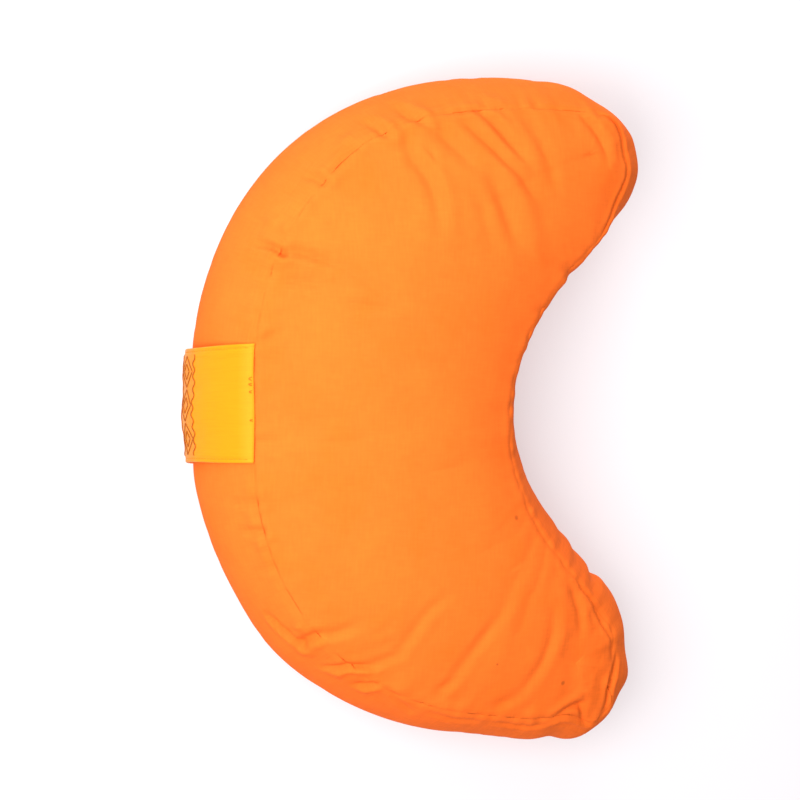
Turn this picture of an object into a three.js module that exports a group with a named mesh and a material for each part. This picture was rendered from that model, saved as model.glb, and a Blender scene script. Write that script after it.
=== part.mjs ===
// Crescent meditation cushion with a wide carrying strap. Millimetres, +Z up.
// The crescent is long in X, its heel bay opens towards -Y and the strap crosses the back wall
// on +Y. The cushion rests on its flat underside at z = 0, and the origin lies under the middle
// of its plan box.
import * as THREE from 'three';
import { mergeVertices } from 'three/addons/utils/BufferGeometryUtils.js';

// ---- Driving dimensions -------------------------------------------------------------------

// Seam outline of the top and bottom panels. Its back is a squared ellipse about (0, centreY),
// each horn ends in a blunt edge, and the bay between the horns is an arc that a soft curve
// carries on to the horn.
const PANEL = {
  backDepth: 210, // centre of the ellipse to the back seam
  centreY: -80,
  bayTopY: -53, // deepest point of the bay
  bayRadius: 122,
  bayHalfAngle: THREE.MathUtils.degToRad(33.5),
  middleStop: 0.87, // share of the horn at which the panel's middle line ends
};

// Heights of the sewn edges and the swell of the band between them.
const FILL = {
  topSeam: 104,
  bottomSeam: 9,
  middleBulge: 21, // swell at the middle of the back
  bayBulge: 17,
  backBlend: 0.35, // share of the back over which the middle's swell becomes the side's
  hornBlend: 0.75, // share of the way along from which the swell becomes the horn's
  sag: 0.22, // share by which the swell is fuller in its lower half
  cornerReach: 18, // length over which a corner draws the band in
  crownShare: 0.22, // rise of the top panel per half width
  footShare: 0.2, // part of the half width that curves down to the flat underside
};

// The filling has settled unevenly, so the two halves differ a little. halfLength runs from the
// middle to the side seam, squareness is the exponent of the squared ellipse (2 for a true one),
// outerY and innerX, innerY place the corners of the blunt horn end, innerSlope is the slope in
// degrees of the bay seam there, the bulges are the band's swell, hornDrop is how much lower the
// top seam lies at the horn, and the draws are the shares of the swell lost at each corner.
const HALVES = {
  right: {
    halfLength: 205, squareness: 2.43, outerY: -133, innerX: 168, innerY: -146, innerSlope: 24,
    backBulge: 23, hornBulge: 21, hornDrop: 11, outerDraw: 0.6, innerDraw: 0.2,
  },
  left: {
    halfLength: 209, squareness: 2.28, outerY: -136, innerX: 157, innerY: -142, innerSlope: 28,
    backBulge: 19, hornBulge: 28, hornDrop: 16, outerDraw: 0.3, innerDraw: 0.28,
  },
};

// Strap over the back wall, and the shallow hollow that its seams pull into the band there.
const STRAP = {
  width: 78,
  thickness: 2,
  lift: 6.5, // outward bow beyond the band's own curve
  bowFullness: 0.8, // exponent of the bow's sine: below 1 it rises faster at the sewn ends
  seat: 0.3, // gap to the band at the sewn ends
  endMargin: 0.03, // share of the band's height left free at each seam
  placingRounds: 4,
  slant: 5.5, // the upper end lies this far towards the right horn, the lower end towards the left
  hollow: 4,
  hollowReach: 38, // half width of the hollow
};

// Creases drawn in along the back seam: which horn they are nearer to, the angle from the
// middle of the back, how far they run into the panel, how deep and how wide they are.
const PUCKERS = [
  { side: 1, angle: 29.5, reach: 46, depth: 3.4, width: 9 },
  { side: 1, angle: 44, reach: 34, depth: 2.4, width: 9 },
  { side: 1, angle: 57.5, reach: 52, depth: 3.6, width: 10 },
  { side: 1, angle: 64, reach: 40, depth: 2.4, width: 9 },
  { side: -1, angle: 42.5, reach: 50, depth: 3.8, width: 10 },
  { side: -1, angle: 52, reach: 40, depth: 2.6, width: 9 },
  { side: -1, angle: 57, reach: 36, depth: 2.2, width: 9 },
];

// Slack folds of the top panel: straight troughs, or ridges where the depth is negative.
const FOLDS = [
  { fromX: 176, fromY: 25, toX: 104, toY: -4, depth: 2.4, width: 11 },
  { fromX: 188, fromY: -18, toX: 126, toY: -78, depth: 2.8, width: 12 },
  { fromX: 145, fromY: -46, toX: 96, toY: -66, depth: -2.2, width: 13 },
  { fromX: 169, fromY: -70, toX: 135, toY: -82, depth: 2, width: 10 },
  { fromX: -153, fromY: 52, toX: -119, toY: 10, depth: 2.2, width: 12 },
  { fromX: -168, fromY: -3, toX: -115, toY: -53, depth: 2.8, width: 12 },
  { fromX: -103, fromY: -84, toX: -148, toY: -82, depth: -2, width: 13 },
];

// A fold starts and ends at this share of a half sine wave, so its ends are shallow.
const FOLD_END = 0.1;

// The rings of the top panel lie closer together towards the seam by this exponent.
const CROWN_SPACING = 1.25;

// Number of mesh steps along each stretch.
const STEPS = { back: 40, horn: 7, wall: 10, crown: 7, foot: 3, flat: 3, strapWidth: 10, strapLength: 20 };

// ---- Outline ------------------------------------------------------------------------------

// Back curve of one half, laid out on the +X side: from the middle of the back to the outer
// corner of the horn.
function backCurve({ halfLength, squareness, outerY }) {
  const { backDepth, centreY } = PANEL;
  const power = 2 / squareness;
  const endAngle = -Math.asin(((centreY - outerY) / backDepth) ** (squareness / 2));
  const count = 28;
  const points = [];
  for (let i = 0; i <= count; i += 1) {
    const angle = THREE.MathUtils.lerp(Math.PI / 2, endAngle, i / count);
    const x = halfLength * Math.abs(Math.cos(angle)) ** power;
    const y = centreY + Math.sign(Math.sin(angle)) * backDepth * Math.abs(Math.sin(angle)) ** power;
    points.push(new THREE.Vector3(x, y, 0));
  }
  points[0].x = 0;
  return new THREE.CatmullRomCurve3(points);
}

// Front curve of one half on the +X side: the arc of the bay, then a curve that leaves it
// smoothly and reaches the horn's inner corner at that corner's own slope.
function bayCurve({ innerX, innerY, innerSlope }) {
  const { bayTopY, bayRadius, bayHalfAngle } = PANEL;
  const onBay = (angle) => new THREE.Vector3(
    bayRadius * Math.sin(angle),
    bayTopY - bayRadius * (1 - Math.cos(angle)),
    0,
  );
  const downSlope = (angle) => new THREE.Vector3(Math.cos(angle), -Math.sin(angle), 0);
  const arcSteps = 6;
  const points = [];
  for (let i = 0; i < arcSteps; i += 1) {
    points.push(onBay((bayHalfAngle * i) / arcSteps));
  }
  const start = onBay(bayHalfAngle);
  const end = new THREE.Vector3(innerX, innerY, 0);
  const handle = start.distanceTo(end) / 3;
  const leave = start.clone().addScaledVector(downSlope(bayHalfAngle), handle);
  const arrive = end.clone().addScaledVector(downSlope(THREE.MathUtils.degToRad(innerSlope)), -handle);
  points.push(...new THREE.CubicBezierCurve3(start, leave, arrive, end).getPoints(8));
  return new THREE.CatmullRomCurve3(points);
}

// Middle line of one half: halfway between back and bay at the same share of both. It
// stops about one half width short of the blunt horn end.
function middleLine(back, bay, share) {
  const backSide = back.getPointAt(share * PANEL.middleStop);
  const baySide = bay.getPointAt(share * PANEL.middleStop);
  const halfWidth = backSide.distanceTo(baySide) / 2;
  return { middle: backSide.add(baySide).multiplyScalar(0.5), halfWidth };
}

// Swell of the band at one place of a half: the middle of the back, its side, the bay or the
// horn end, blended, and drawn in near both corners of the horn.
function bulgeAt(half, share, inBay, toOuterCorner, toInnerCorner) {
  const { lerp, smoothstep } = THREE.MathUtils;
  const back = lerp(FILL.middleBulge, half.backBulge, smoothstep(share, 0, FILL.backBlend));
  const side = lerp(back, FILL.bayBulge, inBay);
  const swell = lerp(side, half.hornBulge, smoothstep(share, FILL.hornBlend, 1));
  const outer = half.outerDraw * bell(toOuterCorner, FILL.cornerReach);
  const inner = half.innerDraw * bell(toInnerCorner, FILL.cornerReach);
  return swell * (1 - outer - inner);
}

// Seam outline of one half on the +X side, from the middle of the back round the horn to the
// middle of the bay. Each entry has its place, its share of the way to the horn, how far it is
// on the bay's side, the middle-line point that it faces and the fill's sizes there.
function halfOutline(half) {
  const back = backCurve(half);
  const bay = bayCurve(half);
  const backPoints = back.getSpacedPoints(STEPS.back);
  const bayPoints = bay.getSpacedPoints(STEPS.back);
  const outerCorner = backPoints[STEPS.back];
  const innerCorner = bayPoints[STEPS.back];
  const entries = backPoints.map((point, i) => ({ point, share: i / STEPS.back, inBay: 0 }));
  for (let i = 1; i < STEPS.horn; i += 1) {
    const across = i / STEPS.horn;
    entries.push({ point: outerCorner.clone().lerp(innerCorner, across), share: 1, inBay: across });
  }
  for (let i = STEPS.back; i >= 0; i -= 1) {
    entries.push({ point: bayPoints[i], share: i / STEPS.back, inBay: 1 });
  }
  return entries.map((entry) => {
    const { point, share, inBay } = entry;
    const toOuter = point.distanceTo(outerCorner);
    const toInner = point.distanceTo(innerCorner);
    return {
      ...entry,
      ...middleLine(back, bay, share),
      bulge: bulgeAt(half, share, inBay, toOuter, toInner),
      topSeam: FILL.topSeam - half.hornDrop * share ** 3,
    };
  });
}

// The whole seam outline, clockwise from the middle of the back, with the outward direction of
// each place.
function seamOutline() {
  const right = halfOutline(HALVES.right);
  const left = halfOutline(HALVES.left).slice(1, -1).reverse();
  left.forEach((entry) => {
    entry.point.x *= -1;
    entry.middle.x *= -1;
  });
  const outline = right.concat(left);
  softenCorners(outline);
  outline.forEach((entry, i) => {
    const before = outline.at(i - 1).point;
    const after = outline[(i + 1) % outline.length].point;
    entry.outward = new THREE.Vector3(before.y - after.y, after.x - before.x, 0).normalize();
  });
  return outline;
}

// Rounds the cloth corners: every point moves halfway to the middle of its neighbours, twice.
function softenCorners(outline) {
  for (let pass = 0; pass < 2; pass += 1) {
    const old = outline.map((entry) => entry.point.clone());
    outline.forEach((entry, i) => {
      const neighbours = old.at(i - 1).clone().add(old[(i + 1) % old.length]).multiplyScalar(0.5);
      entry.point.lerp(neighbours, 0.5);
    });
  }
}

// ---- Surface of the filled body -----------------------------------------------------------

// Swell of the band at a share of its height, 0 at the top seam and 1 at the bottom seam: a
// circular arc through both seams, fuller below.
function wallSwell(entry, share) {
  const halfHeight = (entry.topSeam - FILL.bottomSeam) / 2;
  const radius = (halfHeight ** 2 + entry.bulge ** 2) / (2 * entry.bulge);
  const height = halfHeight * (1 - 2 * share);
  const arc = Math.sqrt(radius ** 2 - height ** 2) - (radius - entry.bulge);
  return arc * (1 + FILL.sag * (2 * share - 1));
}

// A point on the band, at an extra distance outside it along the band's own normal.
function wallPoint(entry, share, outside = 0) {
  const step = 0.01;
  const drop = (entry.topSeam - FILL.bottomSeam) * 2 * step;
  const spread = wallSwell(entry, share + step) - wallSwell(entry, share - step);
  const normal = new THREE.Vector2(drop, spread).normalize().multiplyScalar(outside);
  const height = THREE.MathUtils.lerp(entry.topSeam, FILL.bottomSeam, share);
  const point = entry.point.clone().addScaledVector(entry.outward, wallSwell(entry, share) + normal.x);
  return point.setZ(height + normal.y);
}

// Depth of the hollow under the strap.
function strapHollow(entry, share) {
  const nearStrap = entry.inBay === 0 ? Math.exp(-((entry.point.x / STRAP.hollowReach) ** 4)) : 0;
  return STRAP.hollow * nearStrap * Math.sin(Math.PI * share) ** 2;
}

// Bell curve that falls to about a third at its width.
function bell(distance, width) {
  return Math.exp(-((distance / width) ** 2));
}

// Depth of the seam creases at a point that lies a given distance from the back seam.
function seamCrease(entry, point, distance) {
  if (entry.inBay > 0) {
    return 0;
  }
  const angle = Math.atan2(point.x, point.y - PANEL.centreY);
  return PUCKERS.reduce((sum, row) => {
    const along = (angle - row.side * THREE.MathUtils.degToRad(row.angle)) * PANEL.backDepth;
    return sum + row.depth * bell(along, row.width) * bell(distance, row.reach);
  }, 0);
}

// Depth of the slack folds of the top panel at a plan point.
function foldDepth(point) {
  return FOLDS.reduce((sum, row) => {
    const start = new THREE.Vector3(row.fromX, row.fromY, 0);
    const run = new THREE.Vector3(row.toX, row.toY, 0).sub(start);
    const offset = point.clone().setZ(0).sub(start);
    const share = THREE.MathUtils.clamp(offset.dot(run) / run.lengthSq(), 0, 1);
    const distance = offset.addScaledVector(run, -share).length();
    const wave = Math.sin(Math.PI * THREE.MathUtils.lerp(FOLD_END, 1 - FOLD_END, share));
    return sum + row.depth * bell(distance, row.width) * wave;
  }, 0);
}

// A point of the top panel, at a share of the way from its seam to the middle line.
function topPoint(entry, share) {
  const point = entry.point.clone().lerp(entry.middle, share);
  const rise = FILL.crownShare * entry.halfWidth * (1 - (1 - share) ** 2);
  const inward = entry.point.distanceTo(entry.middle) * share;
  const creases = seamCrease(entry, point, inward) * (1 - share ** 4);
  return point.setZ(entry.topSeam + rise - creases - foldDepth(point));
}

// A point of the underside: it curves down from the bottom seam and then lies flat.
function undersidePoint(entry, share) {
  const left = Math.max(0, 1 - share / FILL.footShare);
  return entry.point.clone().lerp(entry.middle, share).setZ(FILL.bottomSeam * left ** 2);
}

// Rings of points from the middle line of the top, out over the seam, down the band and in
// again under the body. Neighbouring rings are joined by triangles.
function bodyRings(outline) {
  const rings = [];
  for (let i = STEPS.crown; i >= 1; i -= 1) {
    rings.push(outline.map((entry) => topPoint(entry, (i / STEPS.crown) ** CROWN_SPACING)));
  }
  for (let i = 0; i <= STEPS.wall; i += 1) {
    const share = i / STEPS.wall;
    rings.push(outline.map((entry) => {
      const drop = (entry.topSeam - FILL.bottomSeam) * share;
      const creases = seamCrease(entry, entry.point, drop) * (1 - share) ** 2;
      const point = wallPoint(entry, share, -strapHollow(entry, share) - creases / 2);
      return point.setZ(point.z - creases / 2);
    }));
  }
  for (let i = 1; i <= STEPS.foot; i += 1) {
    rings.push(outline.map((entry) => undersidePoint(entry, (FILL.footShare * i) / STEPS.foot)));
  }
  for (let i = 1; i <= STEPS.flat; i += 1) {
    const share = THREE.MathUtils.lerp(FILL.footShare, 1, i / STEPS.flat);
    rings.push(outline.map((entry) => undersidePoint(entry, share)));
  }
  return rings;
}

// ---- Meshes -------------------------------------------------------------------------------

// Builds a geometry from rows of points, joined in a grid that closes round each row. The rows
// run from the top downwards with the points clockwise seen from above.
function closedGrid(rows) {
  const across = rows[0].length;
  const positions = rows.flat().flatMap((point) => point.toArray());
  const indices = [];
  for (let r = 0; r + 1 < rows.length; r += 1) {
    for (let c = 0; c < across; c += 1) {
      const here = r * across + c;
      const next = r * across + ((c + 1) % across);
      indices.push(here, next, here + across, next, next + across, here + across);
    }
  }
  const geometry = new THREE.BufferGeometry();
  geometry.setAttribute('position', new THREE.Float32BufferAttribute(positions, 3));
  geometry.setIndex(indices);
  return weld(geometry);
}

// Merges points that coincide and drops the triangles that this leaves without an area.
function weld(geometry) {
  const welded = mergeVertices(geometry, 1e-3);
  const corners = Array.from(welded.index.array);
  const kept = [];
  for (let i = 0; i < corners.length; i += 3) {
    const [a, b, c] = corners.slice(i, i + 3);
    if (a !== b && b !== c && c !== a) {
      kept.push(a, b, c);
    }
  }
  welded.setIndex(kept);
  welded.computeVertexNormals();
  return welded;
}

function cushionMesh(outline) {
  const material = new THREE.MeshStandardMaterial({ color: 0xf77a22, roughness: 0.85, metalness: 0 });
  const mesh = new THREE.Mesh(closedGrid(bodyRings(outline)), material);
  mesh.name = 'cushion';
  return mesh;
}

// Outline entry on the back seam at a place along X, between the two nearest entries.
function backEntryAt(outline, x) {
  const reach = STEPS.back / 2;
  const back = outline.slice(-reach).concat(outline.slice(0, reach));
  const i = back.findIndex((entry) => entry.point.x > x);
  const [low, high] = [back[i - 1], back[i]];
  const share = (x - low.point.x) / (high.point.x - low.point.x);
  return {
    point: low.point.clone().lerp(high.point, share),
    outward: low.outward.clone().lerp(high.outward, share).normalize(),
    topSeam: THREE.MathUtils.lerp(low.topSeam, high.topSeam, share),
    bulge: THREE.MathUtils.lerp(low.bulge, high.bulge, share),
  };
}

// A point of the strap at a fixed X and at a share of the strap's own length, 0 at its upper
// end. The band fans out from the seam, so the place on the seam is moved towards the middle
// until the point outside it lies at that X.
function strapPoint(outline, x, along, outside) {
  const share = THREE.MathUtils.lerp(STRAP.endMargin, 1 - STRAP.endMargin, along);
  const bow = STRAP.lift * Math.abs(Math.sin(Math.PI * along)) ** STRAP.bowFullness;
  let seamX = x;
  let point;
  for (let round = 0; round < STRAP.placingRounds; round += 1) {
    point = wallPoint(backEntryAt(outline, seamX), share, STRAP.seat + bow + outside);
    seamX += x - point.x;
  }
  return point;
}

// The strap: a sheet from seam to seam that follows the band and bows away from it between its
// sewn ends. Each row goes once round the strap's cross-section.
function strapMesh(outline) {
  const rows = [];
  const widthAt = (i) => STRAP.width * (i / STEPS.strapWidth - 0.5);
  for (let j = 0; j <= STEPS.strapLength; j += 1) {
    const along = j / STEPS.strapLength;
    const shift = STRAP.slant * (1 - 2 * along);
    const row = [];
    for (let i = 0; i <= STEPS.strapWidth; i += 1) {
      row.push(strapPoint(outline, widthAt(i) + shift, along, STRAP.thickness));
    }
    for (let i = STEPS.strapWidth; i >= 0; i -= 1) {
      row.push(strapPoint(outline, widthAt(i) + shift, along, 0));
    }
    rows.push(row);
  }
  const closing = (row) => {
    const middle = row.reduce((sum, point) => sum.add(point), new THREE.Vector3());
    return row.map(() => middle.clone().divideScalar(row.length));
  };
  const material = new THREE.MeshStandardMaterial({ color: 0xffb81c, roughness: 0.6, metalness: 0 });
  const grid = closedGrid([closing(rows[0]), ...rows, closing(rows.at(-1))]);
  const mesh = new THREE.Mesh(grid, material);
  mesh.name = 'strap';
  return mesh;
}

// ---- Assembly -----------------------------------------------------------------------------

const outline = seamOutline();
const part = new THREE.Group();
part.add(cushionMesh(outline), strapMesh(outline));
const box = new THREE.Box3().setFromObject(part);
part.position.set(-(box.min.x + box.max.x) / 2, -(box.min.y + box.max.y) / 2, -box.min.z);

export default part;
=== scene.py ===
"""Crescent meditation cushion of orange cotton, with a wide yellow satin carrying strap.

The crescent is long in X, its heel bay opens towards -Y and the strap crosses the back wall on +Y.
Shapes are worked out in millimetres from the middle of the back curve's ellipse, and one shift puts
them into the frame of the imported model. Meshes are made in metres.
"""

from __future__ import annotations

import logging
import math
from dataclasses import dataclass, replace
from enum import Enum
from typing import Any

import bpy
import numpy as np
from mathutils import Matrix, Vector

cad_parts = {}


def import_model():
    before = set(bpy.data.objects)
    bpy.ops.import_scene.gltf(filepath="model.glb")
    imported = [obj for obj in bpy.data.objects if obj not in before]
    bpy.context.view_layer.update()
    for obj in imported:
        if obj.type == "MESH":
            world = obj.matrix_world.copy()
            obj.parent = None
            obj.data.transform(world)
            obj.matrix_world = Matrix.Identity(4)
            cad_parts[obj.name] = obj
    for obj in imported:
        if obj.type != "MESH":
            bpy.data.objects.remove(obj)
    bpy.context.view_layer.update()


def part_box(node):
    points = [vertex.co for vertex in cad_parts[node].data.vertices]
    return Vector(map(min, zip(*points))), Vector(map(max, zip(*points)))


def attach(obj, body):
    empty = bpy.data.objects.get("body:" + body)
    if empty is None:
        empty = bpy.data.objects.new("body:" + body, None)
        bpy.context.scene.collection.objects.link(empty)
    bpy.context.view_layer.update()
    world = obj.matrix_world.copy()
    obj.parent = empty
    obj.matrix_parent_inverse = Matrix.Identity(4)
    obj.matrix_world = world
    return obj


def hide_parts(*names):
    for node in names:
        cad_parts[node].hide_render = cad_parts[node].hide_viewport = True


log = logging.getLogger("crescent_cushion")

MM = 0.001
ROOT = "root"
CURVE_POINTS = 1600
Array = np.ndarray


# ---- Small tools -----------------------------------------------------------------------------


def ring_quads(numbers: Array) -> Array:
    """Four-sided faces between closed rings of vertex numbers, one ring in each row."""
    onward = np.roll(numbers, -1, axis=1)
    return np.stack([numbers[:-1], onward[:-1], onward[1:], numbers[1:]], axis=-1).reshape(-1, 4)


def quad_corners(grid: Array) -> Array:
    """Values at the four corners of each square of a grid, in the order of ring_quads."""
    return np.stack([grid[:-1, :-1], grid[:-1, 1:], grid[1:, 1:], grid[1:, :-1]], axis=-2)


def linear(code: str) -> tuple[float, float, float, float]:
    """Turns an sRGB hex colour into linear red, green, blue and an alpha of 1.

    Args:
        code: the colour as "#rrggbb".

    Returns:
        The four values that a shader socket takes.
    """
    parts = [int(code[i : i + 2], 16) / 255 for i in (1, 3, 5)]
    return (*[p / 12.92 if p <= 0.04045 else ((p + 0.055) / 1.055) ** 2.4 for p in parts], 1.0)


def bell(distance: Array, width: float | Array, power: float = 2.0) -> Array:
    """Falls from 1 at no distance to about a third at the width; a power below 2 makes it sharp."""
    return np.exp(-np.abs(distance / width) ** power)


def eased(value: Array, low: float, high: float) -> Array:
    """Rises smoothly from 0 at low to 1 at high: 3s^2 - 2s^3 of the share s between them."""
    share = np.clip((value - low) / (high - low), 0.0, 1.0)
    return share * share * (3.0 - 2.0 * share)


def unit(vectors: Array) -> Array:
    """Vectors of length 1 along the last axis; a vector with no length stays as it is."""
    length = np.linalg.norm(vectors, axis=-1, keepdims=True)
    return vectors / np.maximum(length, 1e-9)


def distances(points: Array) -> Array:
    """Distance of each point of an open line from its start, along the line."""
    return np.concatenate([[0.0], np.cumsum(np.linalg.norm(np.diff(points, axis=0), axis=-1))])


def evenly(points: Array, count: int) -> Array:
    """Points at equal steps of length along an open line.

    Args:
        points: the line's points, one row each.
        count: how many points to return, both ends included.

    Returns:
        The new points, one row each.
    """
    length = distances(points)
    at = np.linspace(0.0, length[-1], count)
    return np.stack([np.interp(at, length, column) for column in points.T], axis=1)


def rounding(along: Array, perimeter: float, reach: Array) -> Array:
    """Weights that round a closed line: each station becomes the mean of a bell of its neighbours.

    Args:
        along: each station's distance along the line.
        perimeter: the whole length of the line.
        reach: each station's own bell width, as a standard deviation.

    Returns:
        A square matrix whose rows add up to 1.
    """
    gap = np.abs(along[:, None] - along[None, :])
    gap = np.minimum(gap, perimeter - gap)
    spacing = (np.roll(along, -1) - np.roll(along, 1)) % perimeter
    weights = np.exp(-0.5 * (gap / reach[:, None]) ** 2) * spacing[None, :]
    return weights / weights.sum(axis=1, keepdims=True)


def between(old: Array, new: Array, period: float | None = None) -> Array:
    """Weights of a smooth curve through values at old places, read at new places.

    Each new value is a Catmull-Rom mean of the two old values on either side.

    Args:
        old: rising places at which values are known.
        new: places at which they are wanted.
        period: the length after which the places repeat, for a closed line.

    Returns:
        A matrix with a row for each new place and a column for each old one.
    """
    count = len(old)
    if period is not None:
        old = np.concatenate([old[-2:] - period, old, old[:2] + period])
    here = np.clip(np.searchsorted(old, new, side="right") - 1, 0, len(old) - 2)
    share = np.clip((new - old[here]) / (old[here + 1] - old[here]), 0.0, 1.0)
    cubic = np.stack(
        [
            (-share + 2 * share**2 - share**3) / 2,
            (2 - 5 * share**2 + 3 * share**3) / 2,
            (share + 4 * share**2 - 3 * share**3) / 2,
            (share**3 - share**2) / 2,
        ]
    )
    weights = np.zeros((len(new), count))
    rows = np.arange(len(new))
    for k, part in enumerate(cubic):
        column = here + k - 1
        if period is not None:
            column = (column - 2) % count
        np.add.at(weights, (rows, np.clip(column, 0, count - 1)), part)
    return weights


def add_node(
    tree: bpy.types.NodeTree, kind: str, inputs: dict | None = None, **settings: Any
) -> bpy.types.Node:
    """Adds a shader node with its settings, values and links.

    Args:
        tree: the node tree that takes it.
        kind: the node's type without its "ShaderNode" prefix.
        inputs: a value, or the output socket to link, for each input's name or number.
        settings: the node's own properties.

    Returns:
        The new node.
    """
    node = tree.nodes.new("ShaderNode" + kind)
    for name, value in settings.items():
        setattr(node, name, value)
    for key, value in (inputs or {}).items():
        if isinstance(value, bpy.types.NodeSocket):
            tree.links.new(value, node.inputs[key])
        else:
            node.inputs[key].default_value = value
    return node


def ramp(node: bpy.types.Node, stops: list[tuple[float, tuple]]) -> None:
    """Gives a colour ramp its stops, each a position and a linear colour.

    Args:
        node: the colour ramp.
        stops: its stops, at least two of them.
    """
    elements = node.color_ramp.elements
    while len(elements) < len(stops):
        elements.new(0.5)
    for element, (position, colour) in zip(elements, stops):
        element.position = position
        element.color = colour


def new_material(name: str) -> tuple[bpy.types.Material, bpy.types.NodeTree, bpy.types.Node]:
    """Makes an empty node material.

    Args:
        name: the material's name.

    Returns:
        The material, its node tree and its output node.
    """
    material = bpy.data.materials.new(name)
    material.use_nodes = True
    material.node_tree.nodes.clear()
    return material, material.node_tree, add_node(material.node_tree, "OutputMaterial")


def new_piece(
    name: str,
    points: Array,
    faces: list,
    material: bpy.types.Material,
    uv: Array | None = None,
) -> bpy.types.Object:
    """Makes a smooth mesh object at the origin.

    Args:
        name: the object's name.
        points: vertex places in metres, one row each.
        faces: vertex numbers of each face.
        material: the finish of the whole piece.
        uv: one row for each face corner, in metres of cloth.

    Returns:
        The new object, linked to the scene.
    """
    mesh = bpy.data.meshes.new(name)
    mesh.from_pydata(points.tolist(), [], faces)
    mesh.polygons.foreach_set("use_smooth", [True] * len(mesh.polygons))
    if uv is not None:
        layer = mesh.uv_layers.new(name="cloth")
        layer.data.foreach_set("uv", np.asarray(uv, dtype=np.float32).ravel())
    mesh.materials.append(material)
    mesh.update()
    piece = bpy.data.objects.new(name, mesh)
    bpy.context.scene.collection.objects.link(piece)
    return piece


# ---- Sizes of the crescent -------------------------------------------------------------------


@dataclass(frozen=True)
class Panel:
    """Seam outline of the top and bottom panels.

    The back is a squared ellipse about (0, centre_y), each horn ends in a blunt edge, and the bay
    between the horns is an arc that a soft curve carries on to the horn.

    Attributes:
        back_depth: half height of the ellipse.
        centre_y: its middle.
        bay_top_y: deepest point of the bay.
        bay_radius: radius of the bay's arc.
        bay_half_angle: angle that the arc turns through on either side.
        middle_stop: share of the way to the horn's end at which the panel's middle line ends.
        middle_slowing: how gradually the middle line comes to that end.
    """

    back_depth: float = 210.0
    centre_y: float = -80.0
    bay_top_y: float = -53.0
    bay_radius: float = 122.0
    bay_half_angle: float = math.radians(33.5)
    middle_stop: float = 0.87
    middle_slowing: float = 0.1


@dataclass(frozen=True)
class Fill:
    """Heights of the sewn edges, the swell of the band between them and the panel's crown.

    Attributes:
        top_seam: height of the top seam at the middle of the cushion.
        bottom_seam: height of the bottom seam.
        middle_bulge: swell of the band at the middle of the back.
        bay_bulge: swell at the middle of the bay.
        back_blend: share of the way to the horn over which the back takes on the horn's own swell.
        bay_blend: that share for the bay.
        horn_blend: share from which the swell turns into that of the horn's end.
        sag: how much fuller the band is at its bottom than halfway.
        corner_reach: distance over which a corner draws the band in.
        crown_share: rise of the top panel as a share of its half width.
        back_roll: how gradually the panel's ramp from the back levels out.
        bay_fullness: exponent of its rounder rise from the bay.
        slip_reach: distance from the seam over which the panel takes back what a slip lowers it by.
        soften: bell width over which the panel's rings lose the outline's corners.
        soften_from: distances from the seam at which that starts and is full.
        soften_to: shares of the way to the middle line at which it fades and ends.
        foot_share: share of the bottom panel that curves up to its seam.
    """

    top_seam: float = 104.0
    bottom_seam: float = 9.0
    middle_bulge: float = 24.2
    bay_bulge: float = 17.0
    back_blend: float = 0.35
    bay_blend: float = 0.25
    horn_blend: float = 0.75
    sag: float = 0.22
    corner_reach: float = 18.0
    crown_share: float = 0.22
    back_roll: float = 0.5
    bay_fullness: float = 2.5
    slip_reach: float = 22.0
    soften: float = 16.0
    soften_from: tuple[float, float] = (4.0, 26.0)
    soften_to: tuple[float, float] = (0.55, 1.0)
    foot_share: float = 0.34


@dataclass(frozen=True)
class Horn:
    """One half of the crescent. The filling has settled unevenly, so the two differ a little.

    Attributes:
        half_length: the back ellipse's half width on this side.
        squareness: the ellipse's exponent; 2 is a true one.
        outer_y: where the back meets the horn's blunt end.
        inner_x: the horn's other corner, along the cushion.
        inner_y: the same corner, towards the front.
        inner_slope: slope at which the bay's curve reaches it.
        back_bulge: swell of the band on the back of this half.
        bay_bulge: swell in the bay.
        horn_bulge: swell at the horn's end.
        horn_drop: how much lower the top seam lies there.
        outer_draw: share of the swell that the outer corner takes away.
        inner_draw: that share at the inner corner.
        outer_softness: bell width over which the outline is rounded, as far as the outer corner.
        inner_softness: that width round the inner corner.
    """

    half_length: float
    squareness: float
    outer_y: float
    inner_x: float
    inner_y: float
    inner_slope: float
    back_bulge: float
    bay_bulge: float
    horn_bulge: float
    horn_drop: float
    outer_draw: float
    inner_draw: float
    outer_softness: float
    inner_softness: float


RIGHT_HORN = Horn(
    half_length=205,
    squareness=2.43,
    outer_y=-133,
    inner_x=168,
    inner_y=-146,
    inner_slope=math.radians(24),
    back_bulge=22.8,
    bay_bulge=14,
    horn_bulge=24.5,
    horn_drop=11,
    outer_draw=0.58,
    inner_draw=0.2,
    outer_softness=7,
    inner_softness=5,
)
LEFT_HORN = Horn(
    half_length=209,
    squareness=2.28,
    outer_y=-136,
    inner_x=157,
    inner_y=-142,
    inner_slope=math.radians(28),
    back_bulge=18.3,
    bay_bulge=18.5,
    horn_bulge=28.3,
    horn_drop=16,
    outer_draw=0.3,
    inner_draw=0.28,
    outer_softness=5,
    inner_softness=5,
)


@dataclass(frozen=True)
class Density:
    """How many mesh steps each stretch of the cushion takes.

    Attributes:
        back: along the back of one half, and as many along its bay.
        horn: across the horn's end.
        crown: from the top seam to the middle line.
        wall: down the band.
        foot: from the bottom seam to the middle line.
    """

    back: int
    horn: int
    crown: int
    wall: int
    foot: int


FINE = Density(back=224, horn=22, crown=46, wall=48, foot=10)
COARSE = Density(back=84, horn=9, crown=19, wall=24, foot=11)


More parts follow.
